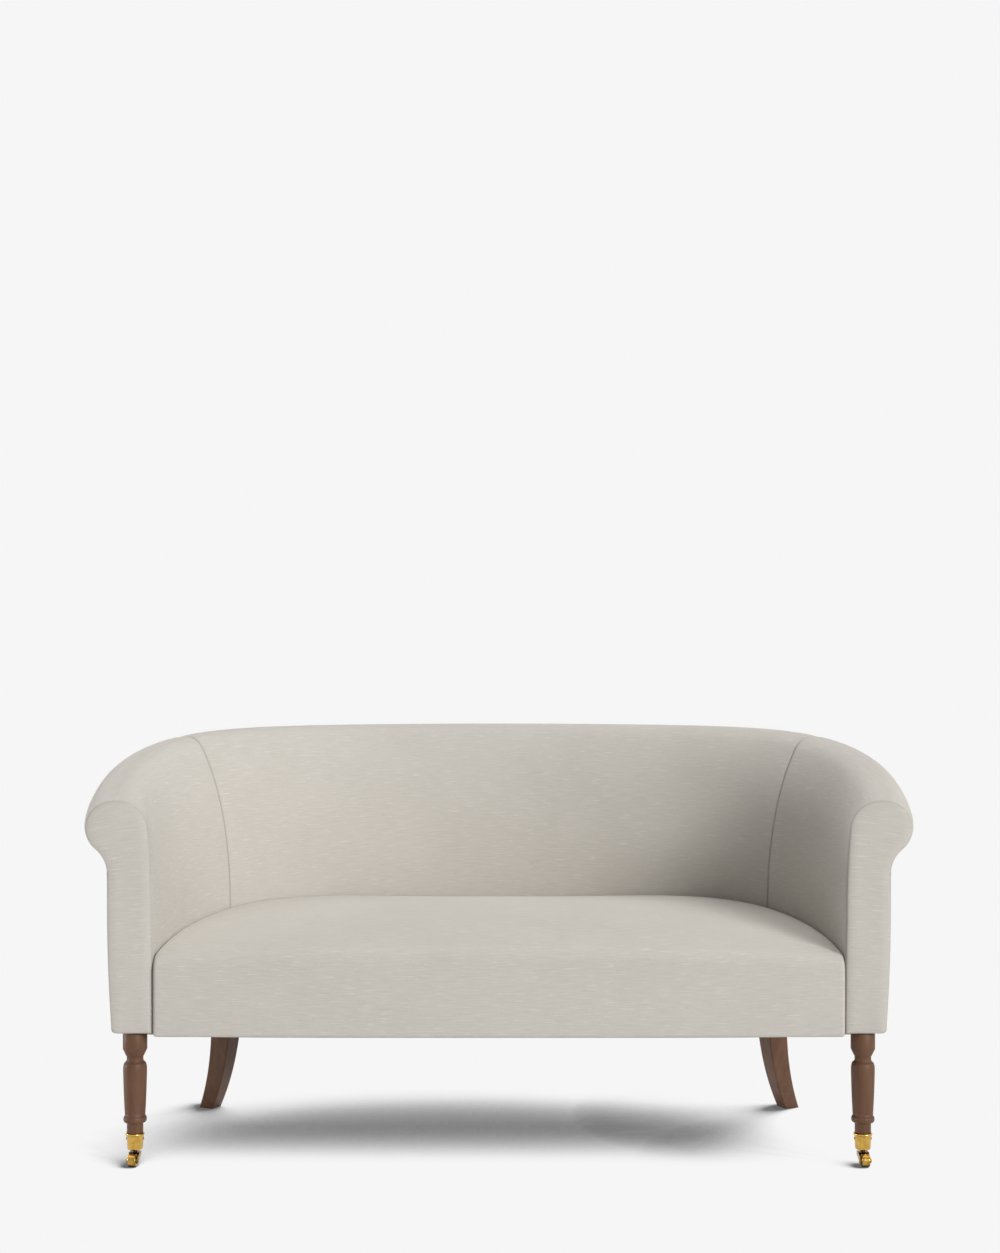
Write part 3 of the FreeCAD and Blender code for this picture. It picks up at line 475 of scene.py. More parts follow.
def linen():
    """Oatmeal linen: fine plain weave with long slubs along the weft, a little fuzz and painted seam shade.
    """
    made, tree, shader = start_material("oatmeal_linen", {
        "Roughness": 0.9, "Specular IOR Level": 0.2, "Sheen Weight": 0.12, "Sheen Roughness": 0.5})
    place = add_node(tree, "ShaderNodeUVMap", uv_map="weave").outputs["UV"]
    slubs = stretched_noise(tree, place, linen_slubs, 3.0, 0.55)
    tone = math_node(tree, "MULTIPLY", slubs, linen_shares[0])
    for stretch, share in zip((linen_fine_weft, linen_fine_warp, linen_clouds), linen_shares[1:]):
        part = stretched_noise(tree, place, stretch, 2.0)
        tone = math_node(tree, "ADD", tone, math_node(tree, "MULTIPLY", part, share))
    thick = add_node(tree, "ShaderNodeMapRange", {
        "Value": stretched_noise(tree, place, linen_thick_slubs, 2.0), "From Min": linen_thick_range[0],
        "From Max": linen_thick_range[1], "To Max": linen_thick_share}).outputs["Result"]
    # Painted shade: the colour darkens toward the seams, by the painted seam shade attribute.
    painted_seam_shade = add_node(tree, "ShaderNodeAttribute", attribute_name="painted_seam_shade").outputs["Fac"]
    painted_seam_shade = math_node(tree, "MULTIPLY", painted_seam_shade, linen_seam_shade_share)
    colour = colour_ramp(tree, tone, list(zip(linen_tones, (linen_dark, linen_mid, linen_pale))))
    colour = mixed_colour(tree, thick, colour, (*linen_slub, 1.0))
    colour = mixed_colour(tree, painted_seam_shade, colour, (*linen_seam_shade, 1.0))
    tree.links.new(colour, shader.inputs["Base Color"])
    tone = math_node(tree, "ADD", tone, math_node(tree, "MULTIPLY", thick, linen_thick_rise))
    weave = math_node(tree, "MULTIPLY", woven_threads(tree, place, linen_thread), linen_weave_rise)
    add_bump(tree, shader, math_node(tree, "ADD", weave, tone), 0.35, linen_depth)
    return made


def seat_top(x, depth):
    """Height of the crowned seat."""
    side = seat_side_height + seat_side_slope * depth
    before = depth < seat_crest_depth
    fall = np.where(before, seat_crest_height - seat_front_height, seat_crest_height - seat_back_height)
    reach = np.where(before, seat_crest_depth, seat_depth - seat_crest_depth)
    centre = seat_crest_height - fall * ((depth - seat_crest_depth) / reach) ** 2
    share = (x / half_width) ** 2
    return side * share + centre * (1 - share)


def arc(centre, radius, start, end, count):
    """Points on an arc, from the start angle to the end angle in degrees."""
    angles = np.radians(np.linspace(start, end, count))
    return np.stack([centre[0] + radius * np.cos(angles), centre[1] + radius * np.sin(angles)], axis=-1)


def resampled(line, shares):
    """Points at shares of the length of a line."""
    lengths = np.concatenate([[0], np.cumsum(np.linalg.norm(np.diff(line, axis=0), axis=1))])
    places = lengths[-1] * shares
    return np.stack([np.interp(places, lengths, line[:, k]) for k in range(line.shape[1])], axis=-1)


def seat_front_line(x, shares):
    """Depths and heights up the front of the seat and over its soft edge."""
    face = -seat_proud - seat_bow * (1 - (x / half_width) ** 2)
    edge = face + seat_roll_radius
    top = seat_top(x, edge)
    slope = math.degrees(math.atan((seat_top(x, edge + slope_step) - top) / slope_step))
    hem = (face + seat_hem_radius, seat_front_bottom + seat_hem_radius)
    under = np.array([[facing_depth + seat_flange, seat_front_bottom]])
    turned = arc(hem, seat_hem_radius, 270, 180, seat_hem_points)
    roll = arc((edge, top - seat_roll_radius), seat_roll_radius, 180, 90 + slope, seat_roll_points)
    return resampled(np.concatenate([under, turned, roll]), shares)


def filled_in(values, marks, count):
    """Values at marks along the first axis, as a smooth run of values at every place."""
    places = np.arange(count)
    upper = np.clip(np.searchsorted(marks, places, side="right"), 1, len(marks) - 1)
    step = (marks[upper] - marks[upper - 1])[:, None, None]
    share = (places - marks[upper - 1])[:, None, None] / step
    slope = np.gradient(values, marks, axis=0)
    ease = share * share * (3 - 2 * share)
    bend = share * (1 - share) * step
    line = values[upper - 1] * (1 - ease) + values[upper] * ease
    return line + bend * (slope[upper - 1] * (1 - share) - slope[upper] * share)


def swelled(surface):
    """Surface of a padded panel after its linen, held along the edges, has swelled over the padding.

    The linen is a cloth simulation on a coarser grid. It starts from a slightly smaller shape, and its
    movement is capped.
    """
    row_marks = np.linspace(0, surface.shape[0] - 1, cloth_rows).round().astype(int)
    column_marks = np.linspace(0, surface.shape[1] - 1, cloth_columns).round().astype(int)
    coarse = surface[np.ix_(row_marks, column_marks)]
    away = np.min(edge_distances(coarse), axis=0)
    start = coarse - grid_normals(coarse) * (cloth_sink * np.clip(away / cloth_sink_ramp, 0, 1))[..., None]
    index, faces = grid_faces(cloth_rows, cloth_columns)
    panel = new_piece("linen_panel", start.reshape(-1, 3), faces.tolist())
    edge = np.concatenate([index[0], index[-1], index[1:-1, 0], index[1:-1, -1]])
    panel.vertex_groups.new(name="tacked").add(edge.tolist(), 1.0, "REPLACE")
    cloth = panel.modifiers.new("cloth", "CLOTH")
    cloth.settings.vertex_group_mass = "tacked"
    cloth.settings.tension_stiffness = cloth_stiffness
    cloth.settings.compression_stiffness = cloth_stiffness
    cloth.settings.use_pressure = True
    cloth.settings.uniform_pressure_force = cloth_pressure
    cloth.settings.effector_weights.gravity = 0.0
    cloth.collision_settings.use_collision = False
    cloth.point_cache.frame_start = 1
    cloth.point_cache.frame_end = cloth_frames
    for frame_number in range(1, cloth_frames + 1):
        scene.frame_set(frame_number)
    settled = panel.evaluated_get(bpy.context.evaluated_depsgraph_get())
    found = np.zeros(start.size, dtype=np.float32)
    settled.data.vertices.foreach_get("co", found)
    moved = found.reshape(start.shape) - coarse
    far = np.maximum(np.linalg.norm(moved, axis=2, keepdims=True), 1e-9)
    moved = moved / far * cloth_cap * np.tanh(far / cloth_cap)
    hold = np.clip(away / cloth_edge, 0, 1)
    moved = moved * (hold * hold * (3 - 2 * hold))[..., None]
    scene.frame_set(1)
    bpy.data.objects.remove(panel)
    moved = filled_in(moved, row_marks, surface.shape[0])
    moved = filled_in(moved.swapaxes(0, 1), column_marks, surface.shape[1]).swapaxes(0, 1)
    return surface + moved


oatmeal_linen = linen()
columns = end_weighted(seat_columns, 0.45)
across = (half_width - seat_gap) * (2 * columns - 1)
lines = np.stack([seat_front_line(x, end_weighted(seat_front_rows, 0.2)) for x in across], axis=1)
border = np.stack([np.broadcast_to(across, lines.shape[:2]), front_y + lines[..., 0], lines[..., 1]], axis=-1)
patch = seat_patch(-seat_gap, border[-1, :, :2], end_weighted(seat_crown_rows, 0.4), columns)
heights = seat_top(patch[..., 0], patch[..., 1] - front_y)
crown = np.concatenate([patch, heights[..., None]], axis=-1)
surface = np.concatenate([border, swelled(crown)[1:]])
radii = (seat_edge_radius, seat_edge_radius, seat_hem_radius / 2, seat_edge_radius)
seat = closed_panel("seat", surface, edge_fall(surface, radii), seat_panel_depth, oatmeal_linen)
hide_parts("seat_cover", "seat_foam", "seat_border_pad")
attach(seat, "sofa")


# Inside arms and inside back
# Linen over foam on the ribs and top rails, from behind the seat up over the roll to the neck below it.
# The arm covers meet the back cover in one sewn seam at each corner.

seam_turn = 37.5
arm_height = 0.7113
back_rise = 0.1123
bend_height = 0.4578
bend_share = 0.62
rise_start_power = 1.74
rise_end_power = 11.1
back_lean = 0.0781
lean_power = 3.62
roll_reach = 0.131
roll_radius = 0.0545
roll_entry_radius = 0.060
roll_flat = 0.0093
roll_exit = 50.0
neck_radius = 0.0686
base_width = 0.079
outside_bulge = 0.0035
cover_bottom = 0.2608
back_cover_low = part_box("inside_back_cover")[0].z
arm_cover_room = 0.002
arm_cover_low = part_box("left_side_seat_rail")[0].z + arm_cover_room
seam_radius = 0.002
inside_hem_radius = 0.002
front_seam_radius = 0.0045
tucked_seam_radius = 0.0004
tucked_seam_heights = (0.41, 0.46)
arm_tuck = 0.0009
arm_tuck_top = 0.40
neck_seam_radius = 0.0015
inside_panel_depth = 0.0095
seam_hollow = 0.0012
seam_hollow_width = 0.016
wall_points = 40
entry_points = 20
entry_rounds = 50
roll_points = 40
neck_points = 16
inside_rows = 130
back_columns = 190
arm_columns = 90
roll_centre = np.array([roll_reach - roll_radius, arm_height - roll_radius])
entry_centre = roll_centre + (-roll_flat, roll_radius - roll_entry_radius)


def roll_shift(turn):
    """How far the roll has leaned outward and climbed at this turn."""
    share = float(wall_length(min(turn, 180 - turn)) / half_length)
    lean = back_lean * (1 - (1 - share) ** lean_power)
    rise = back_rise * (1 - (1 - share ** rise_start_power) ** rise_end_power)
    return np.array([lean, rise])


def inside_line(turn, low):
    """Offsets and heights up the inside face of the wall and over the roll to the neck."""
    shift = roll_shift(turn)
    angle = 180.0
    for step in range(entry_rounds):
        top = entry_centre + shift + direction(angle) * roll_entry_radius
        angle = 180 - math.degrees(math.atan(top[0] / ((1 - bend_share) * (top[1] - bend_height))))
    bend = bend_height + bend_share * (top[1] - bend_height)
    part = np.linspace(0, 1, wall_points)[:, None]
    curve = (1 - part) ** 2 * (0, bend_height) + 2 * part * (1 - part) * (0, bend) + part ** 2 * top
    entry = arc(entry_centre + shift, roll_entry_radius, angle, 90, entry_points)
    roll = arc(roll_centre + shift, roll_radius, 90, -roll_exit, roll_points)
    return np.concatenate([[(0, low)], curve, entry[1:], roll, neck_line(turn)[1:]])


def neck_centre(turn):
    """Centre of the hollow under the roll."""
    return roll_centre + roll_shift(turn) + direction(-roll_exit) * (roll_radius + neck_radius)


def neck_line(turn):
    """Offsets and heights round the hollow under the roll, down to the outside face."""
    centre = neck_centre(turn)
    foot = np.array([base_width, cover_bottom]) - centre
    end = math.degrees(math.atan2(foot[1], foot[0])) % 360
    end -= math.degrees(math.acos(neck_radius / np.linalg.norm(foot)))
    return arc(centre, neck_radius, 180 - roll_exit, end, neck_points)


def wall_grid(line, turns, shares):
    """Surface points of the wall, with a line of offsets and heights at each turn."""
    columns = []
    for turn in turns:
        points = resampled(line(turn), shares)
        x, y = plan(turn, points[:, 0])
        columns.append(np.stack([x, y, points[:, 1]], axis=-1))
    return np.stack(columns, axis=1)


def upholstered(name, surface, radii, hollows, depth, replaced):
    """Panel of linen over padding, drawn down a little along the seams that have a hollow."""
    fall = edge_fall(surface, radii)
    for away, hollow in zip(edge_distances(surface), hollows):
        fall = fall + hollow * np.exp(-(away / seam_hollow_width) ** 2)
    made = closed_panel(name, surface, fall, depth, oatmeal_linen)
    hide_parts(*replaced)
    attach(made, "sofa")
    return made


def inside_arm_line(turn):
    """Inside line of an arm, whose cover is drawn down close beside the seat to the side rail."""
    line = inside_line(turn, arm_cover_low)
    tucked = np.array([[-arm_tuck, arm_cover_low], [-arm_tuck, arm_tuck_top]])
    return np.concatenate([tucked, line[1:]])


def inside_back_line(turn):
    """Inside line of the back, from just below the seat."""
    return inside_line(turn, back_cover_low)


shares = end_weighted(inside_rows, 0.3)
panels = (
    ("inside_back", inside_back_line, 180 - seam_turn, seam_turn, back_columns, seam_radius, seam_radius,
     "inside_back_cover", "back_foam"),
    ("left_inside_arm", inside_arm_line, 180, 180 - seam_turn, arm_columns, front_seam_radius, seam_radius,
     "left_inside_arm_cover", "left_arm_foam"),
    ("right_inside_arm", inside_arm_line, seam_turn, 0, arm_columns, seam_radius, front_seam_radius,
     "right_inside_arm_cover", "right_arm_foam"),
)
for name, line, first, last, count, first_radius, last_radius, cover, foam in panels:
    surface = wall_grid(line, turns_between(first, last, end_weighted(count, 0.6)), shares)
    sides = []
    for radius, column in ((first_radius, 0), (last_radius, -1)):
        if radius == front_seam_radius:
            tucked = (tucked_seam_radius, front_seam_radius)
            radius = np.interp(surface[:, column, 2], tucked_seam_heights, tucked)[:, None]
        sides.append(radius)
    radii = (*sides, inside_hem_radius, neck_seam_radius)
    hollows = (seam_hollow, seam_hollow, 0.0, 0.0)
    panel = upholstered(name, surface, radii, hollows, inside_panel_depth, (cover, foam))


# Arm facings
# Scroll-shaped fronts of the arms: linen drawn over wadding on a thin board, then pinned to the scroll
# board so that they close the front of the arm covers, a little inside their rounded edge.

base_corner_radius = 0.010
facing_seat_inset = 0.0003
facing_roll_inset = 0.0024
facing_side_inset = 0.0010
facing_seat_heights = (0.40, 0.47)
facing_neck_heights = (0.56, 0.62)
facing_edge_width = 0.021
facing_edge_depth = 0.0051
facing_panel_depth = 0.0056
facing_rows = 120
facing_columns = 64


def outside_line(turn):
    """Offsets and heights up the outside face of the wall, from the lower edge to the neck."""
    top = neck_line(turn)[-1]
    share = np.linspace(0, 1, wall_points)
    bulge = 4 * outside_bulge * share * (1 - share)
    return np.stack([base_width + (top[0] - base_width) * share + bulge,
                     cover_bottom + (top[1] - cover_bottom) * share], axis=-1)


def facing_inset(line):
    """How far the facing lies inside the arm's outline: little beside the seat, more round the roll."""
    inner = np.interp(line[:, 1], facing_seat_heights, (facing_seat_inset, facing_roll_inset))
    outer = np.interp(line[:, 1], facing_neck_heights, (facing_side_inset, facing_roll_inset))
    return np.where(np.arange(len(line)) <= np.argmax(line[:, 1]), inner, outer)[:, None]


def facing_outline():
    """Heights with the inner and outer offsets of the facing at each, from the bottom up."""
    line = np.concatenate([inside_line(0, cover_bottom), outside_line(0)[-2::-1]])
    along = np.gradient(line, axis=0)
    inward = np.stack([along[:, 1], -along[:, 0]], axis=-1) / np.linalg.norm(along, axis=1, keepdims=True)
    line = line + facing_inset(line) * inward
    top = int(np.argmax(line[:, 1]))
    heights = cover_bottom + (line[top, 1] - cover_bottom) * end_weighted(facing_rows, 0.75)
    inner_x = np.interp(heights, line[:top + 1, 1], line[:top + 1, 0])
    outer_x = np.interp(heights, line[:top - 1:-1, 1], line[:top - 1:-1, 0])
    inner_x[-1], outer_x[-1] = entry_centre[0], roll_centre[0]
    lift = np.clip(base_corner_radius - (heights - cover_bottom), 0, None)
    outer_x = outer_x - base_corner_radius + np.sqrt(base_corner_radius ** 2 - lift ** 2)
    return heights, inner_x, outer_x


def distance_to_line(points, line):
    """Distance of each plane point from a closed line."""
    run = np.roll(line, -1, axis=0) - line
    away = points[:, None] - line[None]
    part = np.clip((away * run).sum(-1) / np.maximum((run ** 2).sum(-1), 1e-18), 0, 1)
    return np.linalg.norm(away - part[..., None] * run, axis=-1).min(axis=1)


heights, inner_x, outer_x = facing_outline()
offsets = inner_x[:, None] + (outer_x - inner_x)[:, None] * end_weighted(facing_columns, 0.85)
levels = np.broadcast_to(heights[:, None], offsets.shape)
outline = np.concatenate([np.stack([inner_x, heights], axis=-1), np.stack([outer_x, heights], axis=-1)[::-1]])
away = distance_to_line(np.stack([offsets, levels], axis=-1).reshape(-1, 2), outline).reshape(offsets.shape)
fall = rolled_under(away, facing_edge_width, facing_edge_depth)
for side, sign in (("left_", -1), ("right_", 1)):
    surface = np.stack([sign * (half_width + offsets), np.full(offsets.shape, front_y), levels], axis=-1)
    facing = closed_panel(side + "facing", surface[:, ::sign], fall[:, ::sign], facing_panel_depth,
                          oatmeal_linen, away[:, ::sign])
    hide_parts(side + "arm_facing", side + "facing_board")
    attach(facing, "sofa")


# Outside arms and outside back
# Linen drawn flat over the lining boards, slip stitched to the roll's cover at the neck, and tacked under
# the frame along its lower edge.

outside_hem_radius = 0.008
outside_flange = 0.024
outside_front_radius = 0.0015
outside_seam_radius = 0.0012
outside_panel_depth = 0.0016
outside_rows = 84
hem_points = 8


def outside_cover_line(turn):
    """Outside line with the linen turned under the frame at its lower edge."""
    line = outside_line(turn)
    line = line[line[:, 1] > cover_bottom + outside_hem_radius]
    corner = (line[0, 0] - outside_hem_radius, cover_bottom + outside_hem_radius)
    under = np.array([[base_width - outside_flange, cover_bottom]])
    return np.concatenate([under, arc(corner, outside_hem_radius, 270, 360, hem_points), line])


panels = (
    ("outside_back", seam_turn, 180 - seam_turn, back_columns, outside_seam_radius, outside_seam_radius,
     "outside_back_cover"),
    ("left_outside_arm", 180 - seam_turn, 180, arm_columns, outside_seam_radius, outside_front_radius,
     "left_outside_arm_cover"),
    ("right_outside_arm", 0, seam_turn, arm_columns, outside_front_radius, outside_seam_radius,
     "right_outside_arm_cover"),
)
for name, first, last, count, first_radius, last_radius, cover in panels:
    turns = turns_between(first, last, end_weighted(count, 0.6))
    surface = wall_grid(outside_cover_line, turns, end_weighted(outside_rows, 0.3))
    radii = (first_radius, last_radius, outside_seam_radius, outside_seam_radius)
    cloth = upholstered(name, surface, radii, (0, 0, 0, 0), outside_panel_depth, (cover,))
    across, _, up, _ = edge_distances(surface)


# Slip stitches
# Short linen threads that close the outside covers against the roll's cover, sewn by hand along the neck.
# Each shows for a few millimetres where it crosses the joint.

stitch_spacing = 0.008
stitch_length = 0.0035
stitch_thickness = 0.0007
stitch_rise = 0.0004
stitch_start = 1.0
stitch_path_points = 360
wire_steps = 6
wire_crown = 3.0
thread_pale = (0.62, 0.59, 0.53)
thread_dark = (0.50, 0.47, 0.41)
thread_strands = 2200
thread_depth = 0.0002


def spaced_along():
    """Geometry tree that sets short bent wires or threads along a path, each turned to the path's face."""
    tree = bpy.data.node_groups.new("spaced_along_path", "GeometryNodeTree")
    tree.is_modifier = True
    tree.interface.new_socket("Path", in_out="INPUT", socket_type="NodeSocketGeometry")
    for label in ("Spacing", "Length", "Thickness", "Rise"):
        tree.interface.new_socket(label, in_out="INPUT", socket_type="NodeSocketFloat")
    tree.interface.new_socket("Finish", in_out="INPUT", socket_type="NodeSocketMaterial")
    tree.interface.new_socket("Pieces", in_out="OUTPUT", socket_type="NodeSocketGeometry")
    given = add_node(tree, "NodeGroupInput").outputs
    path = add_node(tree, "GeometryNodeMeshToCurve", {"Mesh": given["Path"]})
    spots = add_node(tree, "GeometryNodeResampleCurve", {
        "Curve": path.outputs["Curve"], "Length": given["Spacing"]}, mode="LENGTH")
    half = math_node(tree, "MULTIPLY", given["Length"], 0.5)
    back = math_node(tree, "MULTIPLY", half, -1.0)
    sunk = math_node(tree, "MULTIPLY", given["Rise"], -1.0)
    crown = math_node(tree, "MULTIPLY", given["Rise"], wire_crown)
    radius = math_node(tree, "MULTIPLY", given["Thickness"], 0.5)
    bent = add_node(tree, "GeometryNodeCurveQuadraticBezier", {
        "Resolution": wire_steps,
        "Start": add_node(tree, "ShaderNodeCombineXYZ", {"X": back, "Z": sunk}).outputs["Vector"],
        "Middle": add_node(tree, "ShaderNodeCombineXYZ", {"Z": crown}).outputs["Vector"],
        "End": add_node(tree, "ShaderNodeCombineXYZ", {"X": half, "Z": sunk}).outputs["Vector"]})
    round_section = add_node(tree, "GeometryNodeCurvePrimitiveCircle", {
        "Resolution": wire_steps, "Radius": radius})
    wire = add_node(tree, "GeometryNodeCurveToMesh", {
        "Curve": bent.outputs["Curve"], "Profile Curve": round_section.outputs["Curve"], "Fill Caps": True})
    along = add_node(tree, "FunctionNodeAlignRotationToVector", {
        "Vector": add_node(tree, "GeometryNodeInputTangent").outputs["Tangent"]}, axis="X")
    outward = add_node(tree, "GeometryNodeInputNamedAttribute", {"Name": "outward"}, data_type="FLOAT_VECTOR")
    facing = add_node(tree, "FunctionNodeAlignRotationToVector", {
        "Rotation": along.outputs["Rotation"], "Vector": outward.outputs["Attribute"]},
        axis="Z", pivot_axis="X")
    placed = add_node(tree, "GeometryNodeInstanceOnPoints", {
        "Points": spots.outputs["Curve"], "Instance": wire.outputs["Mesh"],
        "Rotation": facing.outputs["Rotation"]})
    solid = add_node(tree, "GeometryNodeRealizeInstances", {"Geometry": placed.outputs["Instances"]})
    smooth = add_node(tree, "GeometryNodeSetShadeSmooth", {"Geometry": solid.outputs["Geometry"]})
    finished = add_node(tree, "GeometryNodeSetMaterial", {
        "Geometry": smooth.outputs["Geometry"], "Material": given["Finish"]})
    add_node(tree, "NodeGroupOutput", {"Pieces": finished.outputs["Geometry"]})
    return tree


def make_plain(piece):
    """Turns what the modifiers of a piece make into its own mesh."""
    bpy.context.view_layer.update()
    solid = piece.evaluated_get(bpy.context.evaluated_depsgraph_get())
    piece.data = bpy.data.meshes.new_from_object(solid)
    piece.modifiers.clear()


def set_along(name, points, outward, kept, sizes, finish):
    """Pieces along the kept stretches of a path, each facing outward, as one plain mesh."""
    edges = [(k, k + 1) for k in range(len(points) - 1) if kept[k] and kept[k + 1]]
    made = new_piece(name, points, [], edges)
    facing = made.data.attributes.new("outward", "FLOAT_VECTOR", "POINT")
    facing.data.foreach_set("vector", np.asarray(outward, np.float32).ravel())
    row = made.modifiers.new("row", "NODES")
    row.node_group = spaced_along()
    values = {**sizes, "Finish": finish}
    for socket in row.node_group.interface.items_tree:
        if socket.name in values:
            row[socket.identifier] = values[socket.name]
    make_plain(made)
    return made


sewing_thread = speckled("linen_sewing_thread", {"Roughness": 0.85}, thread_strands, 2.0,
                         [(0.35, thread_dark), (0.65, thread_pale)], 0.4, thread_depth)
turns = turns_between(stitch_start, 180 - stitch_start, np.linspace(0, 1, stitch_path_points))
seam = []
outward = []
for turn in turns:
    joint = neck_line(turn)[-1]
    lean = (neck_centre(turn) - joint) / neck_radius
    x, y = plan(turn, joint[0])
    spread = direction(turn) * lean[0]
    seam.append((float(x), float(y), joint[1]))
    outward.append((spread[0], spread[1], lean[1]))
stitches = set_along("neck_stitches", seam, outward, [True] * len(seam), {
    "Spacing": stitch_spacing, "Length": stitch_length, "Thickness": stitch_thickness, "Rise": stitch_rise},
    sewing_thread)
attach(stitches, "sofa")


# Dust cover
# Black woven sheet under the frame that keeps dust and fluff out of sight. It is cut out round the legs
# and stapled to the rails.

dust_black = (0.018, 0.018, 0.019)
dust_shade = (0.008, 0.008, 0.009)
dust_offset = 0.0594
dust_front = 0.036
dust_leg_room = 0.0418
dust_rows = 60
dust_columns = 120
dust_thread = 0.0012
dust_hole_points = 48
dust_hole_depth = 0.02
rear_leg_turn = 41.0
rear_leg_inset = 0.044


def front_leg_axis(side):
    """Plan point of the middle of a front leg."""
    low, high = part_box(side + "front_leg")
    return (low.x + high.x) / 2, (low.y + high.y) / 2


dust_cloth = plain_weave("dust_cloth", dust_thread, dust_black, dust_shade, {"Roughness": 0.9}, 0.5)
sheet = level_sheet(dust_offset, dust_front, dust_rows, dust_columns)
low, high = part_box("dust_cover")
sheet = np.concatenate([sheet, np.full(sheet.shape[:2] + (1,), high.z)], axis=-1)
dust_sheet = closed_panel("dust_sheet", sheet, np.zeros(sheet.shape[:2]), high.z - low.z, dust_cloth)
leg_spots = [np.array(front_leg_axis(side)) for side in ("left_", "right_")]
for turn in (rear_leg_turn, 180 - rear_leg_turn):
    leg_spots.append(np.array(plan(turn, rear_leg_inset)))
holes = bmesh.new()
for spot in leg_spots:
    hole = bmesh.ops.create_cone(holes, cap_ends=True, segments=dust_hole_points, radius1=dust_leg_room,
                                 radius2=dust_leg_room, depth=dust_hole_depth)
    bmesh.ops.translate(holes, verts=hole["verts"], vec=(*spot, high.z))
cutter = new_piece("leg_holes", [], [])
holes.to_mesh(cutter.data)
holes.free()
cut = dust_sheet.modifiers.new("leg_holes", "BOOLEAN")
cut.object = cutter
make_plain(dust_sheet)
bpy.data.objects.remove(cutter)
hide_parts("dust_cover")
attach(dust_sheet, "sofa")


# Staples of the dust cover
# Bent steel wire, driven through the black sheet into the rails at even steps all round, and left out
# beside the legs.

staple_inset = 0.007
staple_spacing = 0.036
staple_width = 0.010
staple_wire = 0.0010
staple_rise = 0.0003
staple_path_points = 700

rim = np.concatenate([sheet[0, :, :2], sheet[1:, -1, :2], sheet[-1, -2::-1, :2], sheet[-2::-1, 0, :2]])
rim = resampled(rim, np.linspace(0, 1, staple_path_points))
inward = np.stack([-np.gradient(rim[:, 1]), np.gradient(rim[:, 0])], axis=-1)
inward = inward / np.linalg.norm(inward, axis=1, keepdims=True)
rim = rim + inward * staple_inset
from_legs = np.min([np.linalg.norm(rim - spot, axis=1) for spot in leg_spots], axis=0)
clear = from_legs > dust_leg_room + staple_inset
row = np.concatenate([rim, np.full((len(rim), 1), low.z)], axis=1)
staples = set_along("dust_cover_staples", row.tolist(), np.tile((0, 0, -1), (len(row), 1)), clear, {
    "Spacing": staple_spacing, "Length": staple_width, "Thickness": staple_wire, "Rise": staple_rise},
    drawn_steel)
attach(staples, "sofa")


# Front legs
# Hardwood turned on a lathe: a collar under the frame, a neck, a long tapering belly, a bead and a foot for
# the castor cup. Stained brown under a thin satin lacquer, and drawn up to its block by a bolt.

leg_brown = (0.152, 0.076, 0.042)
leg_dark = (0.105, 0.050, 0.027)
leg_collar = (0.0235, 0.2258)
leg_neck_radius = 0.0160
leg_neck = (0.2118, 0.2018)
leg_belly = (0.0230, 0.1858)
leg_ankle = (0.0195, 0.0955)
leg_bead = (0.0225, 0.0120)
leg_foot_radius = 0.0157
leg_spigot = ((0.01455, 0.0620), (0.01275, 0.03365))
leg_cove = (0.0013, 0.0008)
leg_ledge = (0.0026, 0.0020)
leg_ledge_edge = (0.0006, 0.0010)
leg_ledge_rise = 0.0015
leg_quirk = (0.0012, 0.0012)
leg_quirk_drop = 0.0030
leg_foot_end = 0.0005
leg_spigot_step = 0.0004
leg_arris = 0.0006
arris_share = 0.4
leg_swell = 0.0005
leg_grain = (70, 70, 7)
shoulder_points = 12
taper_points = 16
bead_points = 14
turned_sides = 80
leg_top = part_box("left_front_leg")[1].z

stained_wood = grained_wood("stained_wood", leg_brown, leg_dark, leg_grain,
                            {"Roughness": 0.5, "Specular IOR Level": 0.25}, 0.2)


def eased(corners, arris):
    """Line through corners, each with its sharp edge taken off."""
    line = [corners[0]]
    for before, corner, after in zip(corners, corners[1:], corners[2:]):
        for other in (before, after):
            run = np.subtract(other, corner)
            line.append(np.add(corner, run * min(arris_share, arris / np.linalg.norm(run))))
    line.append(corners[-1])
    return np.array(line)


def front_leg_profile():
    """Radii and heights down the turned leg, from the middle of its top to the middle of its foot."""
    neck_top, neck_low = leg_neck
    belly_radius, belly_height = leg_belly
    ankle_radius, ankle_height = leg_ankle
    bead_radius, bead_height = leg_bead
    spigot_radius, spigot_top = leg_spigot[0]
    bead_low = ankle_height - bead_height
    ledge = leg_neck_radius + leg_ledge[0]
    shoulder_top = neck_low - leg_ledge[1]
    quarter = np.radians(np.linspace(90, 0, shoulder_points))
    shoulder = np.stack([ledge + (belly_radius - ledge) * np.cos(quarter),
                         belly_height + (shoulder_top - belly_height) * np.sin(quarter)], axis=-1)
    share = np.linspace(0, 1, taper_points)[1:]
    swell = 4 * leg_swell * share * (1 - share)
    taper = np.stack([belly_radius + (ankle_radius - belly_radius) * share + swell,
                      belly_height + (ankle_height - belly_height) * share], axis=-1)
    half = np.radians(np.linspace(90, -90, bead_points))
    bead = np.stack([ankle_radius + (bead_radius - ankle_radius) * np.cos(half),
                     ankle_height - bead_height / 2 + bead_height / 2 * np.sin(half)], axis=-1)
    head = eased([(0, leg_top), (leg_collar[0], leg_top), leg_collar,
                  (leg_neck_radius + leg_cove[0], neck_top + leg_cove[1]), (leg_neck_radius, neck_top),
                  (leg_neck_radius, neck_low + leg_ledge_rise),
                  (ledge - leg_ledge_edge[0], neck_low - leg_ledge_edge[1]), tuple(shoulder[0])], leg_arris)
    foot = eased([tuple(bead[-1]), (leg_foot_radius + leg_quirk[0], bead_low - leg_quirk[1]),
                  (leg_foot_radius, bead_low - leg_quirk_drop), (leg_foot_radius, spigot_top + leg_foot_end),
                  (spigot_radius, spigot_top + leg_spigot_step), leg_spigot[1], (0, leg_spigot[1][1])],
                 leg_arris)
    return np.concatenate([head, shoulder[1:], taper, bead[1:], foot[1:]])


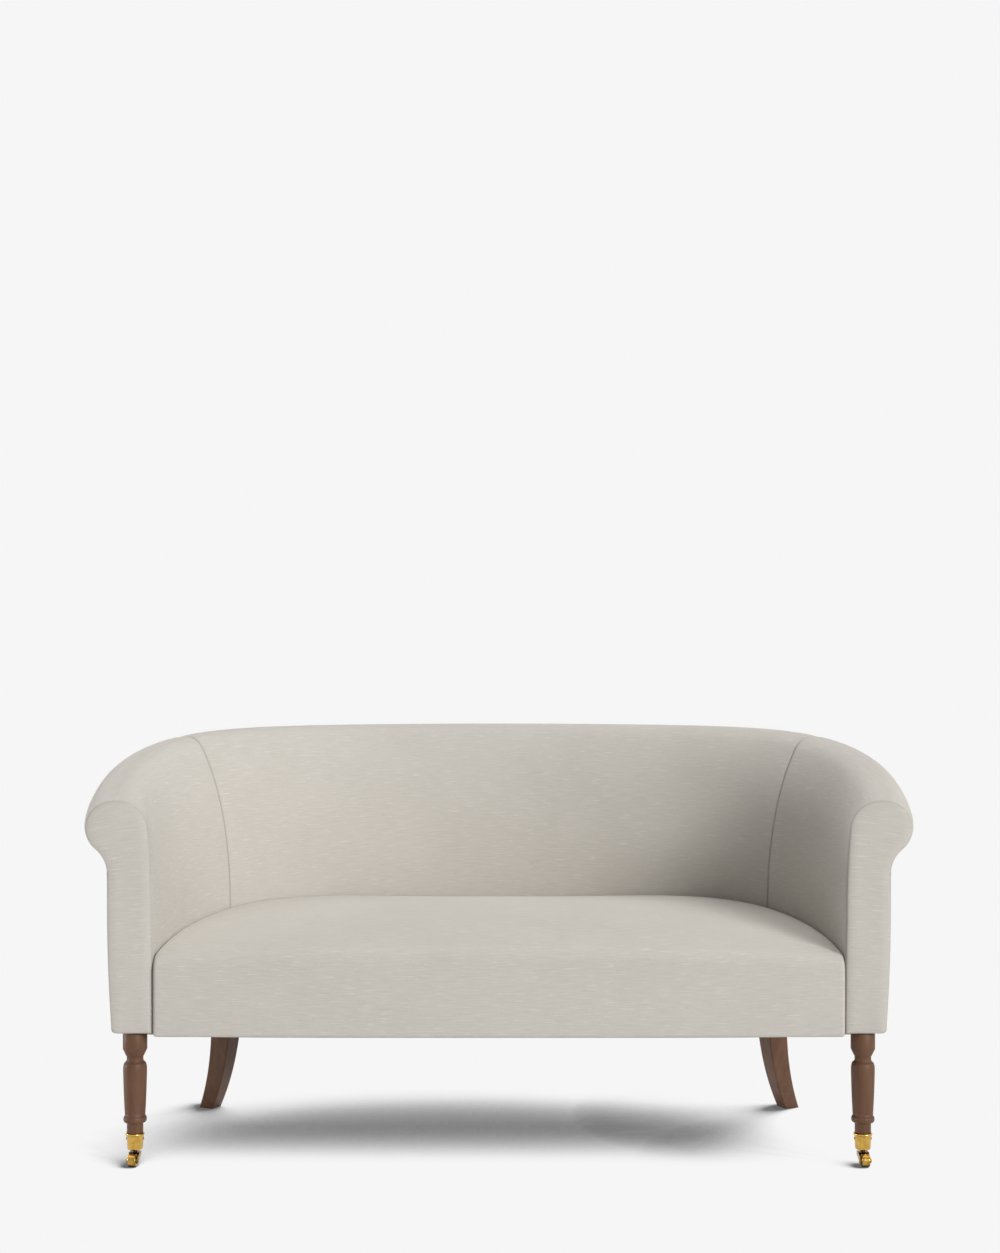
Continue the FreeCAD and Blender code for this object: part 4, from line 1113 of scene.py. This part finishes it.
def ring_faces(first, rings, count):
    """Faces between rings of points that follow each other downward, from the number of a first point."""
    faces = []
    for above in range(first, first + (rings - 1) * count, count):
        below = above + count
        for k in range(count):
            after = (k + 1) % count
            faces.append((above + k, below + k, below + after, above + after))
    return faces


def turned_piece(name, profile, x, y, material):
    """Closed piece turned about an upright axis, from its profile of radii and heights."""
    count = turned_sides
    angles = np.linspace(0, 2 * math.pi, count, endpoint=False)
    rings = profile[1:-1]
    points = [(x, y, profile[0][1])]
    for radius, height in rings:
        points += [(x + radius * math.cos(a), y + radius * math.sin(a), height) for a in angles]
    points.append((x, y, profile[-1][1]))
    end = len(points) - 1
    last = end - count
    faces = ring_faces(1, len(rings), count)
    for k in range(count):
        after = (k + 1) % count
        faces.append((0, 1 + k, 1 + after))
        faces.append((last + k, end, last + after))
    made = new_piece(name, points, faces)
    made.data.shade_smooth()
    made.data.materials.append(material)
    return made


for side in ("left_", "right_"):
    leg = turned_piece(side + "turned_leg", front_leg_profile(), *front_leg_axis(side), stained_wood)
    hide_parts(side + "front_leg")
    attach(leg, "sofa")


# Rear legs
# Square legs sawn to a sweep from the same hardwood, tapered to the foot, with their sharp edges taken off.
# Stained like the front legs, and bolted up into the corner posts.

rear_leg_top = 0.050
rear_leg_foot = 0.034
rear_leg_face_turn = 25.8
rear_leg_splay = 0.112
rear_leg_splay_turn = 63.6
rear_leg_sweep = 2.24
rear_leg_arris = 0.0022
rear_leg_steps = 36
rear_leg_corner_points = 6
rear_leg_edge_turn = 40


def rounded_square(half, arris):
    """Outline of a square with rounded corners, whose flat sides keep flat shading."""
    outline = []
    for start in (0, 90, 180, 270):
        corner = direction(start + 45) * math.sqrt(2) * (half - arris)
        curve = arc(corner, arris, start, start + 90, rear_leg_corner_points)
        outline.append(curve[0] - direction(start + 90) * arris / 2)
        outline.extend(curve)
        outline.append(curve[-1] - direction(start) * arris / 2)
    return np.array(outline)


def swept_leg(name, sign, material):
    """Square leg that tapers and sweeps outward to its foot, on the side that the sign gives."""
    top_x, top_y = plan(rear_leg_turn, rear_leg_inset)
    along = direction(rear_leg_face_turn)
    across = direction(rear_leg_face_turn + 90)
    points = []
    for share in np.linspace(0, 1, rear_leg_steps):
        half = (rear_leg_top + (rear_leg_foot - rear_leg_top) * share) / 2
        splay = rear_leg_splay * share ** rear_leg_sweep
        middle = np.array([top_x, top_y]) + direction(rear_leg_splay_turn) * splay
        for out, over in rounded_square(half, rear_leg_arris):
            x, y = middle + along * out + across * over
            points.append((sign * x, y, leg_top * (1 - share)))
    count = len(points) // rear_leg_steps
    faces = ring_faces(0, rear_leg_steps, count)
    faces.append(tuple(range(count)))
    faces.append(tuple(range(len(points) - 1, len(points) - 1 - count, -1)))
    if sign < 0:
        faces = [face[::-1] for face in faces]
    made = new_piece(name, points, faces)
    made.data.shade_smooth()
    made.data.set_sharp_from_angle(angle=math.radians(rear_leg_edge_turn))
    made.data.materials.append(material)
    return made


for side, sign in (("left_", -1), ("right_", 1)):
    leg = swept_leg(side + "swept_leg", sign, stained_wood)
    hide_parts(side + "rear_leg")
    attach(leg, "sofa")


# Castors
# Cast and turned brass: a cup screwed round the foot of the leg, a horn that swivels on a pin in the
# cup's floor, and a wheel on a riveted axle. The cups are polished, and the rest is painted darker as shade.

brass_pale = (0.67, 0.42, 0.10)
brass_deep = (0.53, 0.315, 0.062)
# A darker copy of the brass: painted shade for the pin, horn, axle and wheel.
shaded_brass_pale = (0.50, 0.31, 0.075)
shaded_brass_deep = (0.30, 0.175, 0.035)
# Shade painted near black into the brass's hollows and gaps, and the reach that finds them.
brass_shade = (0.03, 0.016, 0.004)
brass_hollow = 0.014
brass_tarnish = (90, 90, 90)
# Span of openness over which the painted hollow shade fades out.
brass_hollow_shade_range = (0.3, 0.75)
cup_lip = (0.0182, 0.0585, 0.0622)
cup_body = ((0.0165, 0.0575), (0.0149, 0.0325))
cup_foot = (0.0138, 0.0305)
cup_inside = ((0.0147, 0.0622), (0.0129, 0.0335))
cup_arris = 0.0008


def brass(name, pale, deep, roughness):
    """Brass with a little tarnish, and shade painted near black into its hollows and gaps."""
    made, tree, shader = start_material(name, {"Metallic": 1.0, "Roughness": roughness})
    place = add_node(tree, "ShaderNodeTexCoord").outputs["Object"]
    tarnish = stretched_noise(tree, place, brass_tarnish, 4.0)
    # Painted shade: the colour goes near black where the brass is closed in by its own parts and neighbours.
    hollow = add_node(tree, "ShaderNodeAmbientOcclusion", {"Distance": brass_hollow}, samples=8)
    hollow_shade = add_node(tree, "ShaderNodeMapRange", {
        "Value": hollow.outputs["AO"], "From Min": brass_hollow_shade_range[0], "From Max": brass_hollow_shade_range[1]})
    metal = colour_ramp(tree, tarnish, [(0.35, deep), (0.6, pale)])
    colour = mixed_colour(tree, hollow_shade.outputs["Result"], (*brass_shade, 1.0), metal)
    tree.links.new(colour, shader.inputs["Base Color"])
    return made


polished_brass = brass("polished_brass", brass_pale, brass_deep, 0.2)
# Darker copy of the same brass: painted shade on the pin, horn, axle and wheel.
shaded_brass = brass("shaded_brass", shaded_brass_pale, shaded_brass_deep, 0.24)
dress(polished_brass, "castor_cup_screws")
lip_radius, lip_low, lip_top = cup_lip
cup_profile = eased([(0, cup_inside[1][1]), cup_inside[1], cup_inside[0], (lip_radius, lip_top),
                     (lip_radius, lip_low), *cup_body, cup_foot, (0, cup_foot[1])], cup_arris)
for side in ("left_", "right_"):
    cup = turned_piece(side + "cup", cup_profile, *front_leg_axis(side), polished_brass)
    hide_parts(side + "castor_cup")
    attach(cup, "sofa")
    for name in ("castor_pin", "castor_fork", "castor_axle", "castor_wheel"):
        dress(shaded_brass, side + name)


# Floor, light and camera
# Plain pale studio: an even white surround, a soft key light from the viewer's right, weaker lamps above
# and behind, and a low one at the left that catches the roll. The camera is level and above the back.

background_white = (0.922, 0.922, 0.922)
floor_white = (0.88, 0.88, 0.88)
air_strength = 0.08
shadow_reach = 0.434
shadow_tilt = (1.19, -0.49, 1.0)
contact_reach = 0.021
contact_tilt = (1.0, -0.5, 0.5)
contact_dark = 0.74
shadow_dark = 0.20
shadow_range = (0.525, 0.770)
contact_range = (0.62, 0.97)
shade_samples = 64
floor_half = 20.0
floor_back = 40.0
camera_distance = 3.85
camera_height = 1.0454
camera_side = 0.002
focal_pixels = 2000.0
photo_height = 1253.0
sensor_size = 36.0

floor = new_piece("floor", [(-floor_half, -floor_half, 0), (floor_half, -floor_half, 0),
                            (floor_half, floor_back, 0), (-floor_half, floor_back, 0)], [(0, 1, 2, 3)])
floor_paint, tree, shader = start_material("floor_paint", {
    "Base Color": (*floor_white, 1.0), "Roughness": 1.0, "Specular IOR Level": 0.0})


def floor_shade(tree, reach, tilt, span, dark):
    """Soft shade of the floor under what stands within reach, on the side that the tilt leans away from."""
    upward = add_node(tree, "ShaderNodeVectorMath", {0: tilt}, operation="NORMALIZE")
    open_sky = add_node(tree, "ShaderNodeAmbientOcclusion", {
        "Distance": reach, "Normal": upward.outputs["Vector"]}, samples=shade_samples)
    shade = add_node(tree, "ShaderNodeMapRange", {
        "Value": open_sky.outputs["AO"], "From Min": span[0], "From Max": span[1], "To Min": dark},
        interpolation_type="SMOOTHSTEP")
    return shade.outputs["Result"]


under = floor_shade(tree, shadow_reach, shadow_tilt, shadow_range, 0.0)
under = math_node(tree, "MAXIMUM", under, shadow_dark)
contact = floor_shade(tree, contact_reach, contact_tilt, contact_range, contact_dark)
glow = add_node(tree, "ShaderNodeEmission", {
    "Color": (*background_white, 1.0), "Strength": math_node(tree, "MULTIPLY", under, contact)})
ray = add_node(tree, "ShaderNodeLightPath")
seen = math_node(tree, "MAXIMUM", ray.outputs["Is Camera Ray"], ray.outputs["Is Glossy Ray"])
mixed = add_node(tree, "ShaderNodeMixShader", {
    0: seen, 1: shader.outputs["BSDF"], 2: glow.outputs["Emission"]})
tree.links.new(mixed.outputs["Shader"], tree.nodes["Material Output"].inputs["Surface"])
floor.data.materials.append(floor_paint)
floor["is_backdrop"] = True

world = bpy.data.worlds.new("studio")
scene.world = world
world.use_nodes = True
tree = world.node_tree
tree.nodes.clear()
ray = add_node(tree, "ShaderNodeLightPath")
seen = math_node(tree, "MAXIMUM", ray.outputs["Is Camera Ray"], ray.outputs["Is Glossy Ray"])
seen = math_node(tree, "MAXIMUM", seen, ray.outputs["Is Transmission Ray"])
air = add_node(tree, "ShaderNodeBackground", {"Color": (1, 1, 1, 1), "Strength": air_strength})
backdrop = add_node(tree, "ShaderNodeBackground", {"Color": (*background_white, 1), "Strength": 1.0})
mixed = add_node(tree, "ShaderNodeMixShader", {
    0: seen, 1: air.outputs["Background"], 2: backdrop.outputs["Background"]})
add_node(tree, "ShaderNodeOutputWorld", {"Surface": mixed.outputs["Shader"]})


def sun(name, towards, strength, softness):
    """Distant lamp that shines from a direction, with a soft edge to its shadows in degrees."""
    lamp = bpy.data.lights.new(name, "SUN")
    lamp.energy = strength
    lamp.angle = math.radians(softness)
    made = bpy.data.objects.new(name, lamp)
    made.rotation_mode = "QUATERNION"
    made.rotation_quaternion = Vector(towards).to_track_quat("Z", "Y")
    scene.collection.objects.link(made)
    return made


sun("key_light", (0.617, -0.777, 0.394), 2.34, 22)
sun("side_light", (0.95, -0.35, 0.20), 0.14, 30)
sun("back_light", (0.0, 0.5, 1.0), 0.95, 40)
sun("top_light", (0.0, 0.0, 1.0), 0.80, 30)
sun("far_light", (-0.8, 0.45, 0.6), 0.10, 40)
sun("rim_light", (-1.0, 0.12, 0.055), 1.3, 9)

lens = bpy.data.cameras.new("photo_camera")
lens.sensor_width = sensor_size
lens.lens = focal_pixels * sensor_size / photo_height
camera = bpy.data.objects.new("photo_camera", lens)
camera.location = (camera_side, front_y - camera_distance, camera_height)
camera.rotation_euler = (math.pi / 2, 0, 0)
scene.collection.objects.link(camera)
scene.camera = camera
scene.view_settings.view_transform = "Standard"

low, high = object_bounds()
